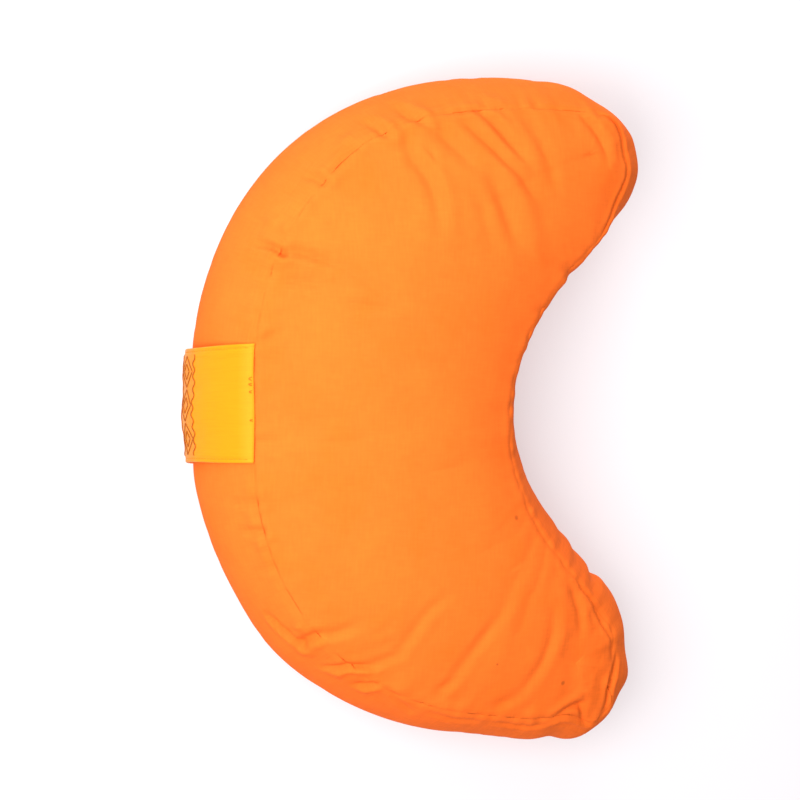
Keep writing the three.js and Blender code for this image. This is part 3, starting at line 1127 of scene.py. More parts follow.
@dataclass(frozen=True)
class Filling:
    """Simulation that presses the filling against the cloth while the seams hold it short.

    Attributes:
        pressure: push of the filling.
        frames: length of the simulation.
        seam_shrink: share by which the sewn edges are shorter than the panels' cloth.
        slack: share by which the panels' cloth is longer than its place.
        sewn_reach: distance from a seam over which the cloth turns from short to slack.
        foot_height: height below which the underside stays where it is.
        form_reach: movement smoother than this is taken out, as the body's form already holds it.
        limit: furthest that a wrinkle may move the cloth.
    """

    pressure: float = 4.0
    frames: int = 20
    seam_shrink: float = 0.07
    slack: float = 0.03
    sewn_reach: float = 3.0
    foot_height: float = 0.3
    form_reach: float = 26.0
    limit: float = 3.0

    def run(self, surface: Surface) -> Array:
        """Settles a coarse copy of the cushion.

        Args:
            surface: the coarse surface to start from.

        Returns:
            How far each point moved outwards, in millimetres.
        """
        points, faces, _ = closed_mesh(surface)
        mesh = bpy.data.meshes.new("settling")
        mesh.from_pydata((points * MM).tolist(), [], faces)
        cloth = bpy.data.objects.new("settling", mesh)
        bpy.context.scene.collection.objects.link(cloth)
        numbers = vertex_numbers(surface)
        from_seam = np.minimum(np.abs(surface.across), np.abs(surface.below))
        tight = np.exp(-from_seam / self.sewn_reach)
        on_floor = (surface.zone == Zone.BOTTOM.value)[:, None] & (surface.points[..., 2] < self.foot_height)
        for name, weight in (("sewn", tight), ("resting", on_floor.astype(float))):
            group = cloth.vertex_groups.new(name=name)
            levels = np.round(np.broadcast_to(weight, numbers.shape), 2)
            for level in np.unique(levels[levels > 0.01]).tolist():
                group.add(np.unique(numbers[levels == level]).tolist(), level, "REPLACE")
        modifier = cloth.modifiers.new("filling", "CLOTH")
        settings = modifier.settings
        for name, value in {
            "quality": 6,
            "mass": 0.15,
            "tension_stiffness": 12,
            "compression_stiffness": 6,
            "shear_stiffness": 4,
            "bending_stiffness": 0.15,
            "use_pressure": True,
            "uniform_pressure_force": self.pressure,
            "vertex_group_shrink": "sewn",
            "shrink_min": -self.slack,
            "shrink_max": self.seam_shrink,
            "vertex_group_mass": "resting",
        }.items():
            setattr(settings, name, value)
        settings.effector_weights.gravity = 0
        scene = bpy.context.scene
        modifier.point_cache.frame_start = 1
        modifier.point_cache.frame_end = self.frames
        for frame in range(1, self.frames + 1):
            scene.frame_set(frame)
        settled = cloth.evaluated_get(bpy.context.evaluated_depsgraph_get()).to_mesh()
        places = np.empty(len(points) * 3)
        settled.vertices.foreach_get("co", places)
        moved = (places.reshape(-1, 3) / MM - points)[numbers]
        scene.frame_set(1)
        bpy.data.objects.remove(cloth)
        bpy.data.meshes.remove(mesh)
        return (moved * surface.normals()).sum(axis=-1)

    def wrinkles(self, surface: Surface) -> Array:
        """The settled cloth's wrinkles on the coarse surface, without its slow swell.

        Args:
            surface: the coarse surface to start from.

        Returns:
            Heights in millimetres, capped softly at the limit.
        """
        moved = self.run(surface)
        log.info("simulated filling moves the cloth by %.1f to %.1f mm", moved.min(), moved.max())
        at = surface.at
        round_way = rounding(at.along, at.perimeter, np.full(len(at.along), self.form_reach))
        down = surface.across.mean(axis=1)
        gap = np.abs(down[:, None] - down[None, :])
        down_way = np.exp(-0.5 * (gap / self.form_reach) ** 2) * np.abs(np.gradient(down))[None, :]
        down_way /= down_way.sum(axis=1, keepdims=True)
        wrinkles = moved - down_way @ moved @ round_way.T
        return self.limit * np.tanh(wrinkles / self.limit)


def vertex_numbers(surface: Surface) -> Array:
    """Vertex number of each point; opposite points of the two middle lines share one.

    Args:
        surface: the rings of points.

    Returns:
        Numbers, rings by columns.
    """
    rings, columns = surface.points.shape[:2]
    mates = surface.at.mate.max() + 1
    numbers = mates + (np.arange(rings) - 1)[:, None] * columns + np.arange(columns)[None, :]
    numbers[0] = surface.at.mate
    numbers[-1] = mates + (rings - 2) * columns + surface.at.mate
    return numbers


def closed_mesh(surface: Surface) -> tuple[Array, list, Array]:
    """Joins the rings into a closed mesh.

    Args:
        surface: the cushion's surface.

    Returns:
        Vertex places in millimetres, faces, and a place in metres of cloth for each face corner:
        plan places on the panels, and distance along and down on the band.
    """
    numbers = vertex_numbers(surface)
    columns = numbers.shape[1]
    totals = np.zeros((numbers.max() + 1, 3))
    np.add.at(totals, numbers, surface.points)
    points = totals / np.bincount(numbers.ravel())[:, None]

    quads = ring_quads(numbers)

    round_way = np.append(np.arange(columns), 0)
    along = np.append(surface.at.along, surface.at.perimeter)
    band = np.stack(np.broadcast_arrays(along, surface.across[:, round_way]), axis=-1)
    plan = surface.points[:, round_way, :2]
    on_band = (surface.zone[1:] == Zone.BAND.value) & (surface.zone[:-1] == Zone.BAND.value)
    cloth = np.where(on_band[:, None, None, None], quad_corners(band), quad_corners(plan))
    cloth = cloth.reshape(-1, 4, 2)

    whole = (quads[:, 0] != quads[:, 1]) & (quads[:, 2] != quads[:, 3])
    upper = quads[:, 0] == quads[:, 1]
    lower = quads[:, 2] == quads[:, 3]
    faces = quads[whole].tolist() + quads[upper][:, 1:].tolist() + quads[lower][:, :3].tolist()
    corners = [cloth[whole], cloth[upper][:, 1:], cloth[lower][:, :3]]
    uv = np.concatenate([part.reshape(-1, 2) for part in corners]) * MM
    return points, faces, uv


# ---- Finishes --------------------------------------------------------------------------------


@dataclass(frozen=True)
class WovenCotton:
    """Piece-dyed cotton drill: matt, with slubs that run along both threads.

    Attributes:
        dye: main colour.
        deep: colour where the dye took more.
        pale: colour where it took less.
        speck: colour of the specks.
        thread: spacing of the threads in metres.
        slub: length of the thick places in a thread, in metres.
        spots: specks of dirt, each a place in metres and a radius in metres.
    """

    dye: str = "#EE6A24"
    deep: str = "#EC6821"
    pale: str = "#F06D25"
    speck: str = "#A84A1C"
    thread: float = 0.00065
    slub: float = 0.012
    spots: tuple[tuple[float, float, float, float], ...] = ()

    def material(self) -> bpy.types.Material:
        """Dye in soft clouds, plain-weave relief with slubs, soft handling creases.

        Returns:
            The new material.
        """
        material, tree, output = new_material("cotton_drill_woven_piece_dyed")
        place = add_node(tree, "TexCoord").outputs["Object"]
        cloth = add_node(tree, "UVMap", uv_map="cloth").outputs["UV"]

        # Clouds of dye a few centimetres wide keep the big panels from looking printed.
        cloudy = {"Vector": place, "Scale": 28.0, "Detail": 3.0, "Roughness": 0.6}
        clouds = add_node(tree, "TexNoise", cloudy)
        tint = add_node(tree, "ValToRGB", {"Fac": clouds.outputs["Fac"]})
        ramp(tint, [(0.3, linear(self.deep)), (0.5, linear(self.dye)), (0.72, linear(self.pale))])

        # Thick places in warp and weft: noise drawn out along each thread.
        across_thread = 1 / (2.2 * self.thread)
        streaks = []
        for scale in ((1 / self.slub, across_thread, 1.0), (across_thread, 1 / self.slub, 1.0)):
            drawn = add_node(tree, "Mapping", {"Vector": cloth, "Scale": scale}).outputs["Vector"]
            noise = add_node(tree, "TexNoise", {"Vector": drawn, "Scale": 1.0, "Detail": 2.0})
            streaks.append(noise.outputs["Fac"])
        slubs = add_node(tree, "Math", dict(enumerate(streaks)), operation="ADD").outputs[0]
        lighter = {"Value": slubs, "From Min": 0.6, "From Max": 1.4, "To Min": 0.93, "To Max": 1.07}
        shade = add_node(tree, "MapRange", lighter).outputs[0]
        coloured = {0: tint.outputs["Color"], "Scale": shade}
        colour = add_node(tree, "VectorMath", coloured, operation="SCALE").outputs["Vector"]

        # Specks fade out between a third of their radius and all of it.
        for x, y, z, radius in self.spots:
            distance = add_node(tree, "VectorMath", {0: place, 1: (x, y, z)}, operation="DISTANCE")
            fading = {
                "Value": distance.outputs["Value"],
                "From Min": 0.35 * radius,
                "From Max": radius,
                "To Min": 0.75,
                "To Max": 0.0,
            }
            spot = add_node(tree, "MapRange", fading).outputs[0]
            mixed = add_node(tree, "Mix", {0: spot, 6: colour, 7: linear(self.speck)}, data_type="RGBA")
            colour = mixed.outputs[2]

        # Plain weave: the product of two sines, one along each thread, gives the overs and unders.
        parts = add_node(tree, "SeparateXYZ", {0: cloth}).outputs
        sines = []
        for axis in ("X", "Y"):
            turned = add_node(tree, "Math", {0: parts[axis], 1: math.pi / self.thread}, operation="MULTIPLY")
            sines.append(add_node(tree, "Math", {0: turned.outputs[0]}, operation="SINE").outputs[0])
        weave = add_node(tree, "Math", dict(enumerate(sines)), operation="MULTIPLY").outputs[0]
        relief = add_node(tree, "Math", {0: slubs, 1: 0.8, 2: weave}, operation="MULTIPLY_ADD").outputs[0]
        threads = add_node(tree, "Bump", {"Height": relief, "Strength": 0.35, "Distance": 0.0001})

        # Soft rumples from handling, about 20 mm across and a tenth or two of a millimetre high.
        rumpled = {"Vector": place, "Scale": 42.0, "Detail": 2.0, "Distortion": 0.6}
        rumple = {
            "Height": add_node(tree, "TexNoise", rumpled).outputs["Fac"],
            "Strength": 1.0,
            "Distance": 0.0004,
            "Normal": threads.outputs[0],
        }
        cotton = {
            "Base Color": colour,
            "Roughness": 0.88,
            "IOR": 1.45,
            "Specular IOR Level": 0.06,
            "Normal": add_node(tree, "Bump", rumple).outputs[0],
        }
        shader = add_node(tree, "BsdfPrincipled", cotton)
        tree.links.new(shader.outputs[0], output.inputs["Surface"])
        return material


@dataclass(frozen=True)
class Satin:
    """Warp-faced polyester satin: long floats give a soft gloss, and the ground band is dyed peach.

    Attributes:
        dye: colour of the strap.
        ground: colour of the decorated band across its middle.
        pale: colour of its top end, a painted highlight where the satin curves over into the seam.
        highlight_end: places along the strap at which the painted highlight of the top end begins and is
            full, in metres.
        ground_from: start of that band along the strap, in metres.
        ground_to: end of that band.
        ground_edge: length over which the band's colour comes and goes, in metres.
        float_spacing: distance between the long surface threads, in metres.
        streak: width of the streaks along them, in metres.
        streak_length: length of those streaks.
    """

    dye: str = "#F28415"
    ground: str = "#D07E20"
    # Painted highlight: the lighter colour of the strap's top end.
    pale: str = "#F48A20"
    highlight_end: tuple[float, float] = (0.011, 0.004)
    ground_from: float = 0.0505
    ground_to: float = 0.0785
    ground_edge: float = 0.0012
    float_spacing: float = 0.0006
    streak: float = 0.0011
    streak_length: float = 0.02

    def material(self) -> bpy.types.Material:
        """Yellow with a painted highlight at its top end, a peach band, fine lengthwise threads and a soft
        gloss.

        Returns:
            The new material.
        """
        material, tree, output = new_material("polyester_satin_woven")
        cloth = add_node(tree, "UVMap", uv_map="cloth").outputs["UV"]
        parts = add_node(tree, "SeparateXYZ", {0: cloth}).outputs

        # The top end lightened as a painted highlight, then the decorated band, whose two edges are soft.
        shares = []
        for low, high in (
            self.highlight_end,
            (self.ground_from, self.ground_from + self.ground_edge),
            (self.ground_to + self.ground_edge, self.ground_to),
        ):
            limits = {"Value": parts["Y"], "From Min": low, "From Max": high}
            shares.append(add_node(tree, "MapRange", limits).outputs[0])
        pale, *edges = shares
        band = add_node(tree, "Math", dict(enumerate(edges)), operation="MULTIPLY").outputs[0]
        # Painted highlight: the top end's mask mixes the yellow towards the pale colour.
        plain = {0: pale, 6: linear(self.dye), 7: linear(self.pale)}
        plain = add_node(tree, "Mix", plain, data_type="RGBA").outputs[2]
        mixed = add_node(tree, "Mix", {0: band, 6: plain, 7: linear(self.ground)}, data_type="RGBA")

        # Streaks of light and dark along the floats.
        along = {"Vector": cloth, "Scale": (1 / self.streak, 1 / self.streak_length, 1.0)}
        drawn = add_node(tree, "Mapping", along).outputs["Vector"]
        streaks = add_node(tree, "TexNoise", {"Vector": drawn, "Scale": 1.0, "Detail": 2.0}).outputs["Fac"]
        lighter = {"Value": streaks, "From Min": 0.3, "From Max": 0.7, "To Min": 0.96, "To Max": 1.04}
        shade = add_node(tree, "MapRange", lighter).outputs[0]
        colour = add_node(tree, "VectorMath", {0: mixed.outputs[2], "Scale": shade}, operation="SCALE")

        # The floats themselves, and a soft ripple under them.
        angle = {0: parts["X"], 1: 2 * math.pi / self.float_spacing}
        turned = add_node(tree, "Math", angle, operation="MULTIPLY").outputs[0]
        floats = add_node(tree, "Math", {0: turned}, operation="SINE").outputs[0]
        threads = add_node(tree, "Bump", {"Height": floats, "Strength": 0.3, "Distance": 0.00005})
        rippled = {"Vector": cloth, "Scale": 70.0, "Detail": 2.0}
        ripple = {
            "Height": add_node(tree, "TexNoise", rippled).outputs["Fac"],
            "Strength": 1.0,
            "Distance": 0.0006,
            "Normal": threads.outputs[0],
        }
        satin = {
            "Base Color": colour.outputs["Vector"],
            "Roughness": 0.42,
            "IOR": 1.5,
            "Specular IOR Level": 0.12,
            "Specular Tint": linear("#FFD24A"),
            "Normal": add_node(tree, "Bump", ripple).outputs[0],
        }
        shader = add_node(tree, "BsdfPrincipled", satin)
        tree.links.new(shader.outputs[0], output.inputs["Surface"])
        return material


@dataclass(frozen=True)
class Thread:
    """Spun sewing thread: slanting plies that catch the light in small dashes, from their bump and from
    painted shade and highlight.

    Attributes:
        name: the material's name.
        dye: its colour.
        ply: distance between two plies along the thread, in metres.
        roughness: 0.45 for glossy embroidery thread and more for spun sewing thread.
    """

    name: str
    dye: str
    ply: float = 0.0011
    roughness: float = 0.6

    def material(self) -> bpy.types.Material:
        """One colour with painted shade between the plies and a painted highlight on them, and their relief
        as bump.

        Returns:
            The new material.
        """
        material, tree, output = new_material(self.name)
        cloth = add_node(tree, "UVMap", uv_map="cloth").outputs["UV"]
        parts = add_node(tree, "SeparateXYZ", {0: cloth}).outputs
        length = add_node(tree, "Math", {0: parts["Y"], 1: 2 * math.pi / self.ply}, operation="MULTIPLY")
        angle = {0: parts["X"], 1: 2 * math.pi, 2: length.outputs[0]}
        turned = add_node(tree, "Math", angle, operation="MULTIPLY_ADD").outputs[0]
        plies = add_node(tree, "Math", {0: turned}, operation="SINE").outputs[0]
        # Painted shade and highlight: the colour is scaled from 0.8 between the plies to 1.05 on them.
        painted_ply_shade = {"Value": plies, "From Min": -1.0, "From Max": 1.0, "To Min": 0.8, "To Max": 1.05}
        shade = add_node(tree, "MapRange", painted_ply_shade).outputs[0]
        coloured = {0: linear(self.dye)[:3], "Scale": shade}
        bump = add_node(tree, "Bump", {"Height": plies, "Strength": 0.6, "Distance": 0.00008})
        thread = {
            "Base Color": add_node(tree, "VectorMath", coloured, operation="SCALE").outputs["Vector"],
            "Roughness": self.roughness,
            "Specular IOR Level": 0.15,
            "Normal": bump.outputs[0],
        }
        shader = add_node(tree, "BsdfPrincipled", thread)
        tree.links.new(shader.outputs[0], output.inputs["Surface"])
        return material


@dataclass(frozen=True)
class LightTable:
    """Matt white acrylic lit faintly from below, which keeps the shadows on it pale.

    Attributes:
        acrylic: colour of the sheet and of its light.
        glow: strength of that light.
    """

    acrylic: str = "#AEAAAC"
    glow: float = 1.21

    def material(self) -> bpy.types.Material:
        """An even matt sheet with a little light of its own.

        Returns:
            The new material.
        """
        material, tree, output = new_material("acrylic_sheet_opal")
        colour = linear(self.acrylic)
        sheet = {
            "Base Color": colour,
            "Roughness": 0.95,
            "Specular IOR Level": 0.1,
            "Emission Color": colour,
            "Emission Strength": self.glow,
        }
        shader = add_node(tree, "BsdfPrincipled", sheet)
        tree.links.new(shader.outputs[0], output.inputs["Surface"])
        return material


# ---- Cushion ---------------------------------------------------------------------------------


@dataclass(frozen=True)
class Cushion:
    """The filled crescent: two panels and a band, sewn along two seams.

    Attributes:
        form: its outline and filled shape.
        sewing: what the seams do.
        filling: the simulation of the cloth over its filling.
        hollow: depth to which the strap's seams draw the band in under it.
        hollow_reach: half width of that hollow.
        hollow_slant: how far its top lies towards the right horn, and its bottom towards the left.
        middle_share: share of the simulated wrinkles that is kept on the middle of the top panel.
        horn_share: that share towards the horns.
        band_share: that share on the band.
        horn_from: distances from the middle at which the horns' share starts and is full.
        crease_share: share of the creases' depth that the simulation starts from.
        loose_from: distance below the top seam from which the foot holds the band's cloth still.
        foot_height: height above the floor by which that cloth is free again.
    """

    form: Crescent = Crescent()
    sewing: Sewing = Sewing()
    filling: Filling = Filling()
    hollow: float = 4.0
    hollow_reach: float = 35.0
    hollow_slant: float = 5.5
    middle_share: float = 0.14
    horn_share: float = 0.16
    band_share: float = 0.13
    horn_from: tuple[float, float] = (60.0, 120.0)
    crease_share: float = 0.8
    loose_from: float = 20.0
    foot_height: float = 2.0

    def strap_hollow(self, surface: Surface) -> Array:
        """Height, below nothing, of the hollow under the strap: a flat bell in x, sin^2 down the band.

        Args:
            surface: the smooth surface.

        Returns:
            Heights along its normals.
        """
        down = np.clip(surface.ring, 0, 1)[:, None]
        off_middle = surface.at.point[:, 0] - self.hollow_slant * (1 - 2 * down)
        near = np.exp(-((off_middle / self.hollow_reach) ** 4)) * (surface.at.in_bay == 0)
        return -self.hollow * near * np.sin(math.pi * down) ** 2

    def wrinkles(self, surface: Surface) -> Array:
        """Simulated wrinkles, carried from the coarse surface to this one.

        Args:
            surface: the fine surface.

        Returns:
            Heights in millimetres.
        """
        coarse = smooth_surface(self.form, COARSE)
        coarse = coarse.moved(self.crease_share * crease_height(coarse) + self.strap_hollow(coarse))
        heights = self.filling.wrinkles(coarse)
        scale = surface.at.perimeter / coarse.at.perimeter
        round_way = between(coarse.at.along * scale, surface.at.along, surface.at.perimeter)
        return between(coarse.ring, surface.ring) @ heights @ round_way.T

    def shown(self, surface: Surface) -> Array:
        """Share of the simulated wrinkles that is kept: the filling is packed hardest in the middle.

        Args:
            surface: the fine surface.

        Returns:
            A share for each point.
        """
        towards_horn = eased(np.abs(surface.points[..., 0]), *self.horn_from)
        on_panel = self.middle_share + (self.horn_share - self.middle_share) * towards_horn
        return self.band_share + (on_panel - self.band_share) * eased(surface.across, -4.0, 8.0)

    def surface(self) -> Surface:
        """The cushion's finished surface, in millimetres in its own frame.

        Returns:
            The fine surface.
        """
        surface = smooth_surface(self.form, FINE)
        height = crease_height(surface) + self.sewing.height(surface) + self.strap_hollow(surface)
        height = height + self.shown(surface) * self.wrinkles(surface)
        free = eased(surface.points[..., 2], 0.0, self.foot_height)
        surface = surface.moved(np.where(surface.across < -self.loose_from, height * free, height))
        surface.points[..., 2] = np.maximum(surface.points[..., 2], 0.0)
        return surface

    def build(self, shift: Array, finish: WovenCotton) -> bpy.types.Object:
        """Makes the cushion, attaches it to the root and hides the imported cushion part.

        Args:
            shift: the shift that frame_shift gives.
            finish: its cloth.

        Returns:
            The piece.
        """
        surface = self.surface()
        points, faces, uv = closed_mesh(surface)
        piece = new_piece("filled_crescent", (points + shift) * MM, faces, finish.material(), uv)
        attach(piece, ROOT)
        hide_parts("cushion")
        log.info("filled crescent: %d points, %d faces", len(points), len(faces))
        return piece


# ---- Strap -----------------------------------------------------------------------------------


@dataclass(frozen=True)
class Strap:
    """Wide carrying strap, sewn into both seams over the back wall.

    Positions on it are x across and a share t along it, 0 at the top seam and 1 at the bottom seam.

    Attributes:
        width: its width at the seams.
        length: the cloth it is cut to, from seam to seam.
        waist: how much narrower it is halfway, where it stands free.
        slant: how far its top end lies towards the right horn, and its bottom end towards the left.
        aside: how far the whole strap lies towards the right horn.
        lift: height of its bow off the band.
        fullness: exponent of the bow's sine; below 1 it rises faster at the ends.
        unevenness: how much more it bows towards its right edge, as a share.
        dents: smaller unevenness of the bow: place across, reach and share of each.
        seat: gap to the band at the sewn ends.
        tuck: how far either end is drawn in towards the band.
        tuck_reach: share of the length over which it does.
        wave: height of the slight waves in its free cloth.
        cloth: half thickness of the satin.
        hem: half thickness that the turned-in edges add.
        hem_width: width of those edges.
        stitch_line: distance of the stitched line from either edge.
        stitch_dent: how deep the thread draws the satin in there.
        edge_round: distance over which the edge rounds off.
        first: share of the band's height at which the top end leaves the seam.
        last: share at which the bottom end enters the other.
        across: mesh steps across.
        along: mesh steps along.
    """

    width: float = 78.0
    length: float = 115.0
    waist: float = 2.4
    slant: float = 3.6
    aside: float = 1.9
    lift: float = 3.2
    fullness: float = 0.8
    unevenness: float = 0.12
    dents: tuple[tuple[float, float, float], ...] = ((-7, 9, 0.10), (-24, 10, -0.10), (11, 7, -0.06))
    seat: float = 0.3
    tuck: float = 0.9
    tuck_reach: float = 0.012
    wave: float = 0.35
    cloth: float = 0.55
    hem: float = 0.25
    hem_width: float = 7.5
    stitch_line: float = 2.6
    stitch_dent: float = 0.4
    edge_round: float = 1.1
    first: float = -0.002
    last: float = 0.985
    across: int = 72
    along: int = 96

    def seam_stations(self, form: Crescent, x: Array) -> Stations:
        """Stations of the back seam at any places along X near its middle.

        Args:
            form: the cushion's shape.
            x: the places.

        Returns:
            A station for each place.
        """
        at = form.stations(FINE)
        back = (at.in_bay == 0) & (np.abs(at.point[:, 0]) < 2 * self.width)
        order = np.argsort(at.point[back, 0])
        known = at.point[back, 0][order]

        def read(values: Array) -> Array:
            """One of the stations' values, read between its neighbours."""
            return np.interp(x, known, values[back][order])

        return replace(
            at,
            point=np.stack([x, read(at.point[:, 1])], axis=-1),
            outward=unit(np.stack([read(at.outward[:, 0]), read(at.outward[:, 1])], axis=-1)),
            bulge=read(at.bulge),
            top_seam=read(at.top_seam),
        )

    def place(self, form: Crescent, x: Array, t: Array, outside: Array | float) -> Array:
        """Points at a distance outside the strap's middle surface.

        The strap follows the band at seat + lift * sin(pi t)^fullness, a little unevenly. The band
        fans out below its seam, so the place on the seam moves until the point outside it lies at x.

        Args:
            form: the cushion's shape.
            x: places across the strap.
            t: shares along it.
            outside: distance from the middle surface.

        Returns:
            Places in millimetres.
        """
        uneven = 1 + self.unevenness * x / (self.width / 2)
        for middle, reach, share in self.dents:
            uneven = uneven + share * bell(x - middle, reach)
        bow = self.lift * uneven * np.abs(np.sin(math.pi * t)) ** self.fullness
        tucked = self.tuck * (bell(t, self.tuck_reach) + bell(1 - t, self.tuck_reach))
        share = self.first + (self.last - self.first) * t
        x = x * (1 - self.waist / self.width * np.sin(math.pi * np.clip(t, 0, 1)) ** 2)
        x = x + self.aside + self.slant * (1 - 2 * t)
        seam_x = x
        for _ in range(4):
            at = self.seam_stations(form, seam_x)
            point = form.band(at, share, self.seat + self.cloth + bow - tucked + outside)
            seam_x = seam_x + x - point[..., 0]
        return point

    def ripple(self, side: Array, t: Array) -> Array:
        """Slight waves of the free cloth, which die away at both ends."""
        return self.wave * np.sin(7.0 * side + 5.0 * t) * np.sin(math.pi * t)

    def half_thickness(self, side: Array) -> Array:
        """Half the strap's thickness at a share of the half width: hems are thicker, edges round.

        Args:
            side: place across, from -1 to 1.

        Returns:
            Half thicknesses.
        """
        inset = (1 - np.abs(side)) * self.width / 2
        hem = self.hem * (1 - eased(inset, self.hem_width - 1.0, self.hem_width + 0.6))
        stitched = self.stitch_dent * bell(inset - self.stitch_line, 0.7)
        edge = np.sqrt(np.clip(1 - (1 - np.clip(inset / self.edge_round, 0, 1)) ** 2, 0, 1))
        return (self.cloth + hem - stitched) * edge

    def build(self, form: Crescent, shift: Array, finish: Satin) -> bpy.types.Object:
        """Makes the strap as one closed sheet.

        Each row goes once round the cross-section: out along the top face and back underneath.

        Args:
            form: the cushion's shape.
            shift: the shift that frame_shift gives.
            finish: its cloth.

        Returns:
            The piece, attached to the root, with the imported strap part hidden.
        """
        even = np.linspace(-1, 1, self.across + 1)
        edgeward = 0.65
        side = (1 - edgeward) * even + edgeward * np.sin(math.pi / 2 * even)
        round_way = np.concatenate([side, side[-2:0:-1]])
        face = np.concatenate([np.ones(len(side)), -np.ones(len(side) - 2)])
        t = np.linspace(0, 1, self.along + 1)
        sides, shares = np.meshgrid(round_way, t)
        outside = face * self.half_thickness(sides) + self.ripple(sides, shares)
        points = self.place(form, sides * self.width / 2, shares, outside)
        rows, columns = shares.shape
        numbers = np.arange(rows * columns).reshape(rows, columns)
        walls = ring_quads(numbers)
        under = np.concatenate([[0], np.arange(columns - 1, self.across, -1), [self.across]])
        first = np.stack(
            [np.arange(self.across), np.arange(1, self.across + 1), under[1:], under[:-1]], axis=-1
        )
        caps = np.concatenate([numbers[0][first[:, ::-1]], numbers[-1][first]])
        length = distances(points[:, 0])
        cloth = np.stack(
            [sides * self.width / 2, np.broadcast_to(length[:, None], sides.shape)], axis=-1
        ).reshape(-1, 2)
        faces = []
        for quad in np.concatenate([walls, caps]).tolist():
            corners = list(dict.fromkeys(quad))
            if len(corners) > 2:
                faces.append(corners)
        uv = cloth[np.concatenate(faces)] * MM
        places = (points.reshape(-1, 3) + shift) * MM
        piece = new_piece("carrying_strap", places, faces, finish.material(), uv)
        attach(piece, ROOT)
        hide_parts("strap")
        log.info("carrying strap: %.0f mm long", length[-1])
        return piece


# ---- Threads ---------------------------------------------------------------------------------


@dataclass(frozen=True)
class Cord:
    """Thread laid along a path: a round profile carried along it.

    Attributes:
        path: places in millimetres, one row each.
        up: outward direction at each place.
        radius: half the thread's thickness.
        sides: corners of its cross-section.
        flat: height of the section as a share of its width.
        tip: thickness of the two ends, as a share.
    """

    path: Array
    up: Array
    radius: float
    sides: int = 6
    flat: float = 0.75
    tip: float = 0.35

    def mesh(self) -> tuple[Array, list, Array]:
        """The closed tube: rings about the path, the two end rings drawn in to points.

        Returns:
            Vertex places in millimetres, faces, and a place in metres of thread for each corner.
        """
        tangent = unit(np.gradient(self.path, axis=0))
        aside = unit(np.cross(self.up, tangent))
        up = np.cross(tangent, aside)
        count = len(self.path)
        taper = np.ones(count)
        taper[[0, -1]] = self.tip
        angle = 2 * math.pi * np.arange(self.sides) / self.sides
        around = angle[None, :, None]
        ring = np.cos(around) * aside[:, None] + self.flat * np.sin(around) * up[:, None]
        points = (self.path[:, None] + self.radius * taper[:, None, None] * ring).reshape(-1, 3)
        numbers = np.arange(count * self.sides).reshape(count, self.sides)
        length = distances(self.path)
        corners = np.stack(
            np.meshgrid(np.arange(self.sides + 1) / self.sides / MM, length, indexing="xy"), axis=-1
        )
        uv = quad_corners(corners).reshape(-1, 2)
        ends = np.concatenate([corners[0, : self.sides], corners[-1, : self.sides]])
        faces = ring_quads(numbers).tolist() + [numbers[0][::-1].tolist(), numbers[-1].tolist()]
        return points, faces, np.concatenate([uv, ends]) * MM


def sew(name: str, cords: list[Cord], shift: Array, finish: Thread) -> bpy.types.Object:
    """Joins cords into one piece.

    Args:
        name: the piece's name.
        cords: the threads in it.
        shift: the shift that frame_shift gives.
        finish: their thread.

    Returns:
        The piece, riding on the cushion.
    """
    points: list[Array] = []
    faces: list[list[int]] = []
    corners: list[Array] = []
    start = 0
    for cord in cords:
        places, cord_faces, uv = cord.mesh()
        points.append(places)
        faces += [[number + start for number in face] for face in cord_faces]
        corners.append(uv)
        start += len(places)
    places = (np.concatenate(points) + shift) * MM
    piece = new_piece(name, places, faces, finish.material(), np.concatenate(corners))
    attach(piece, ROOT)
    log.info("%s: %d threads", name, len(cords))
    return piece


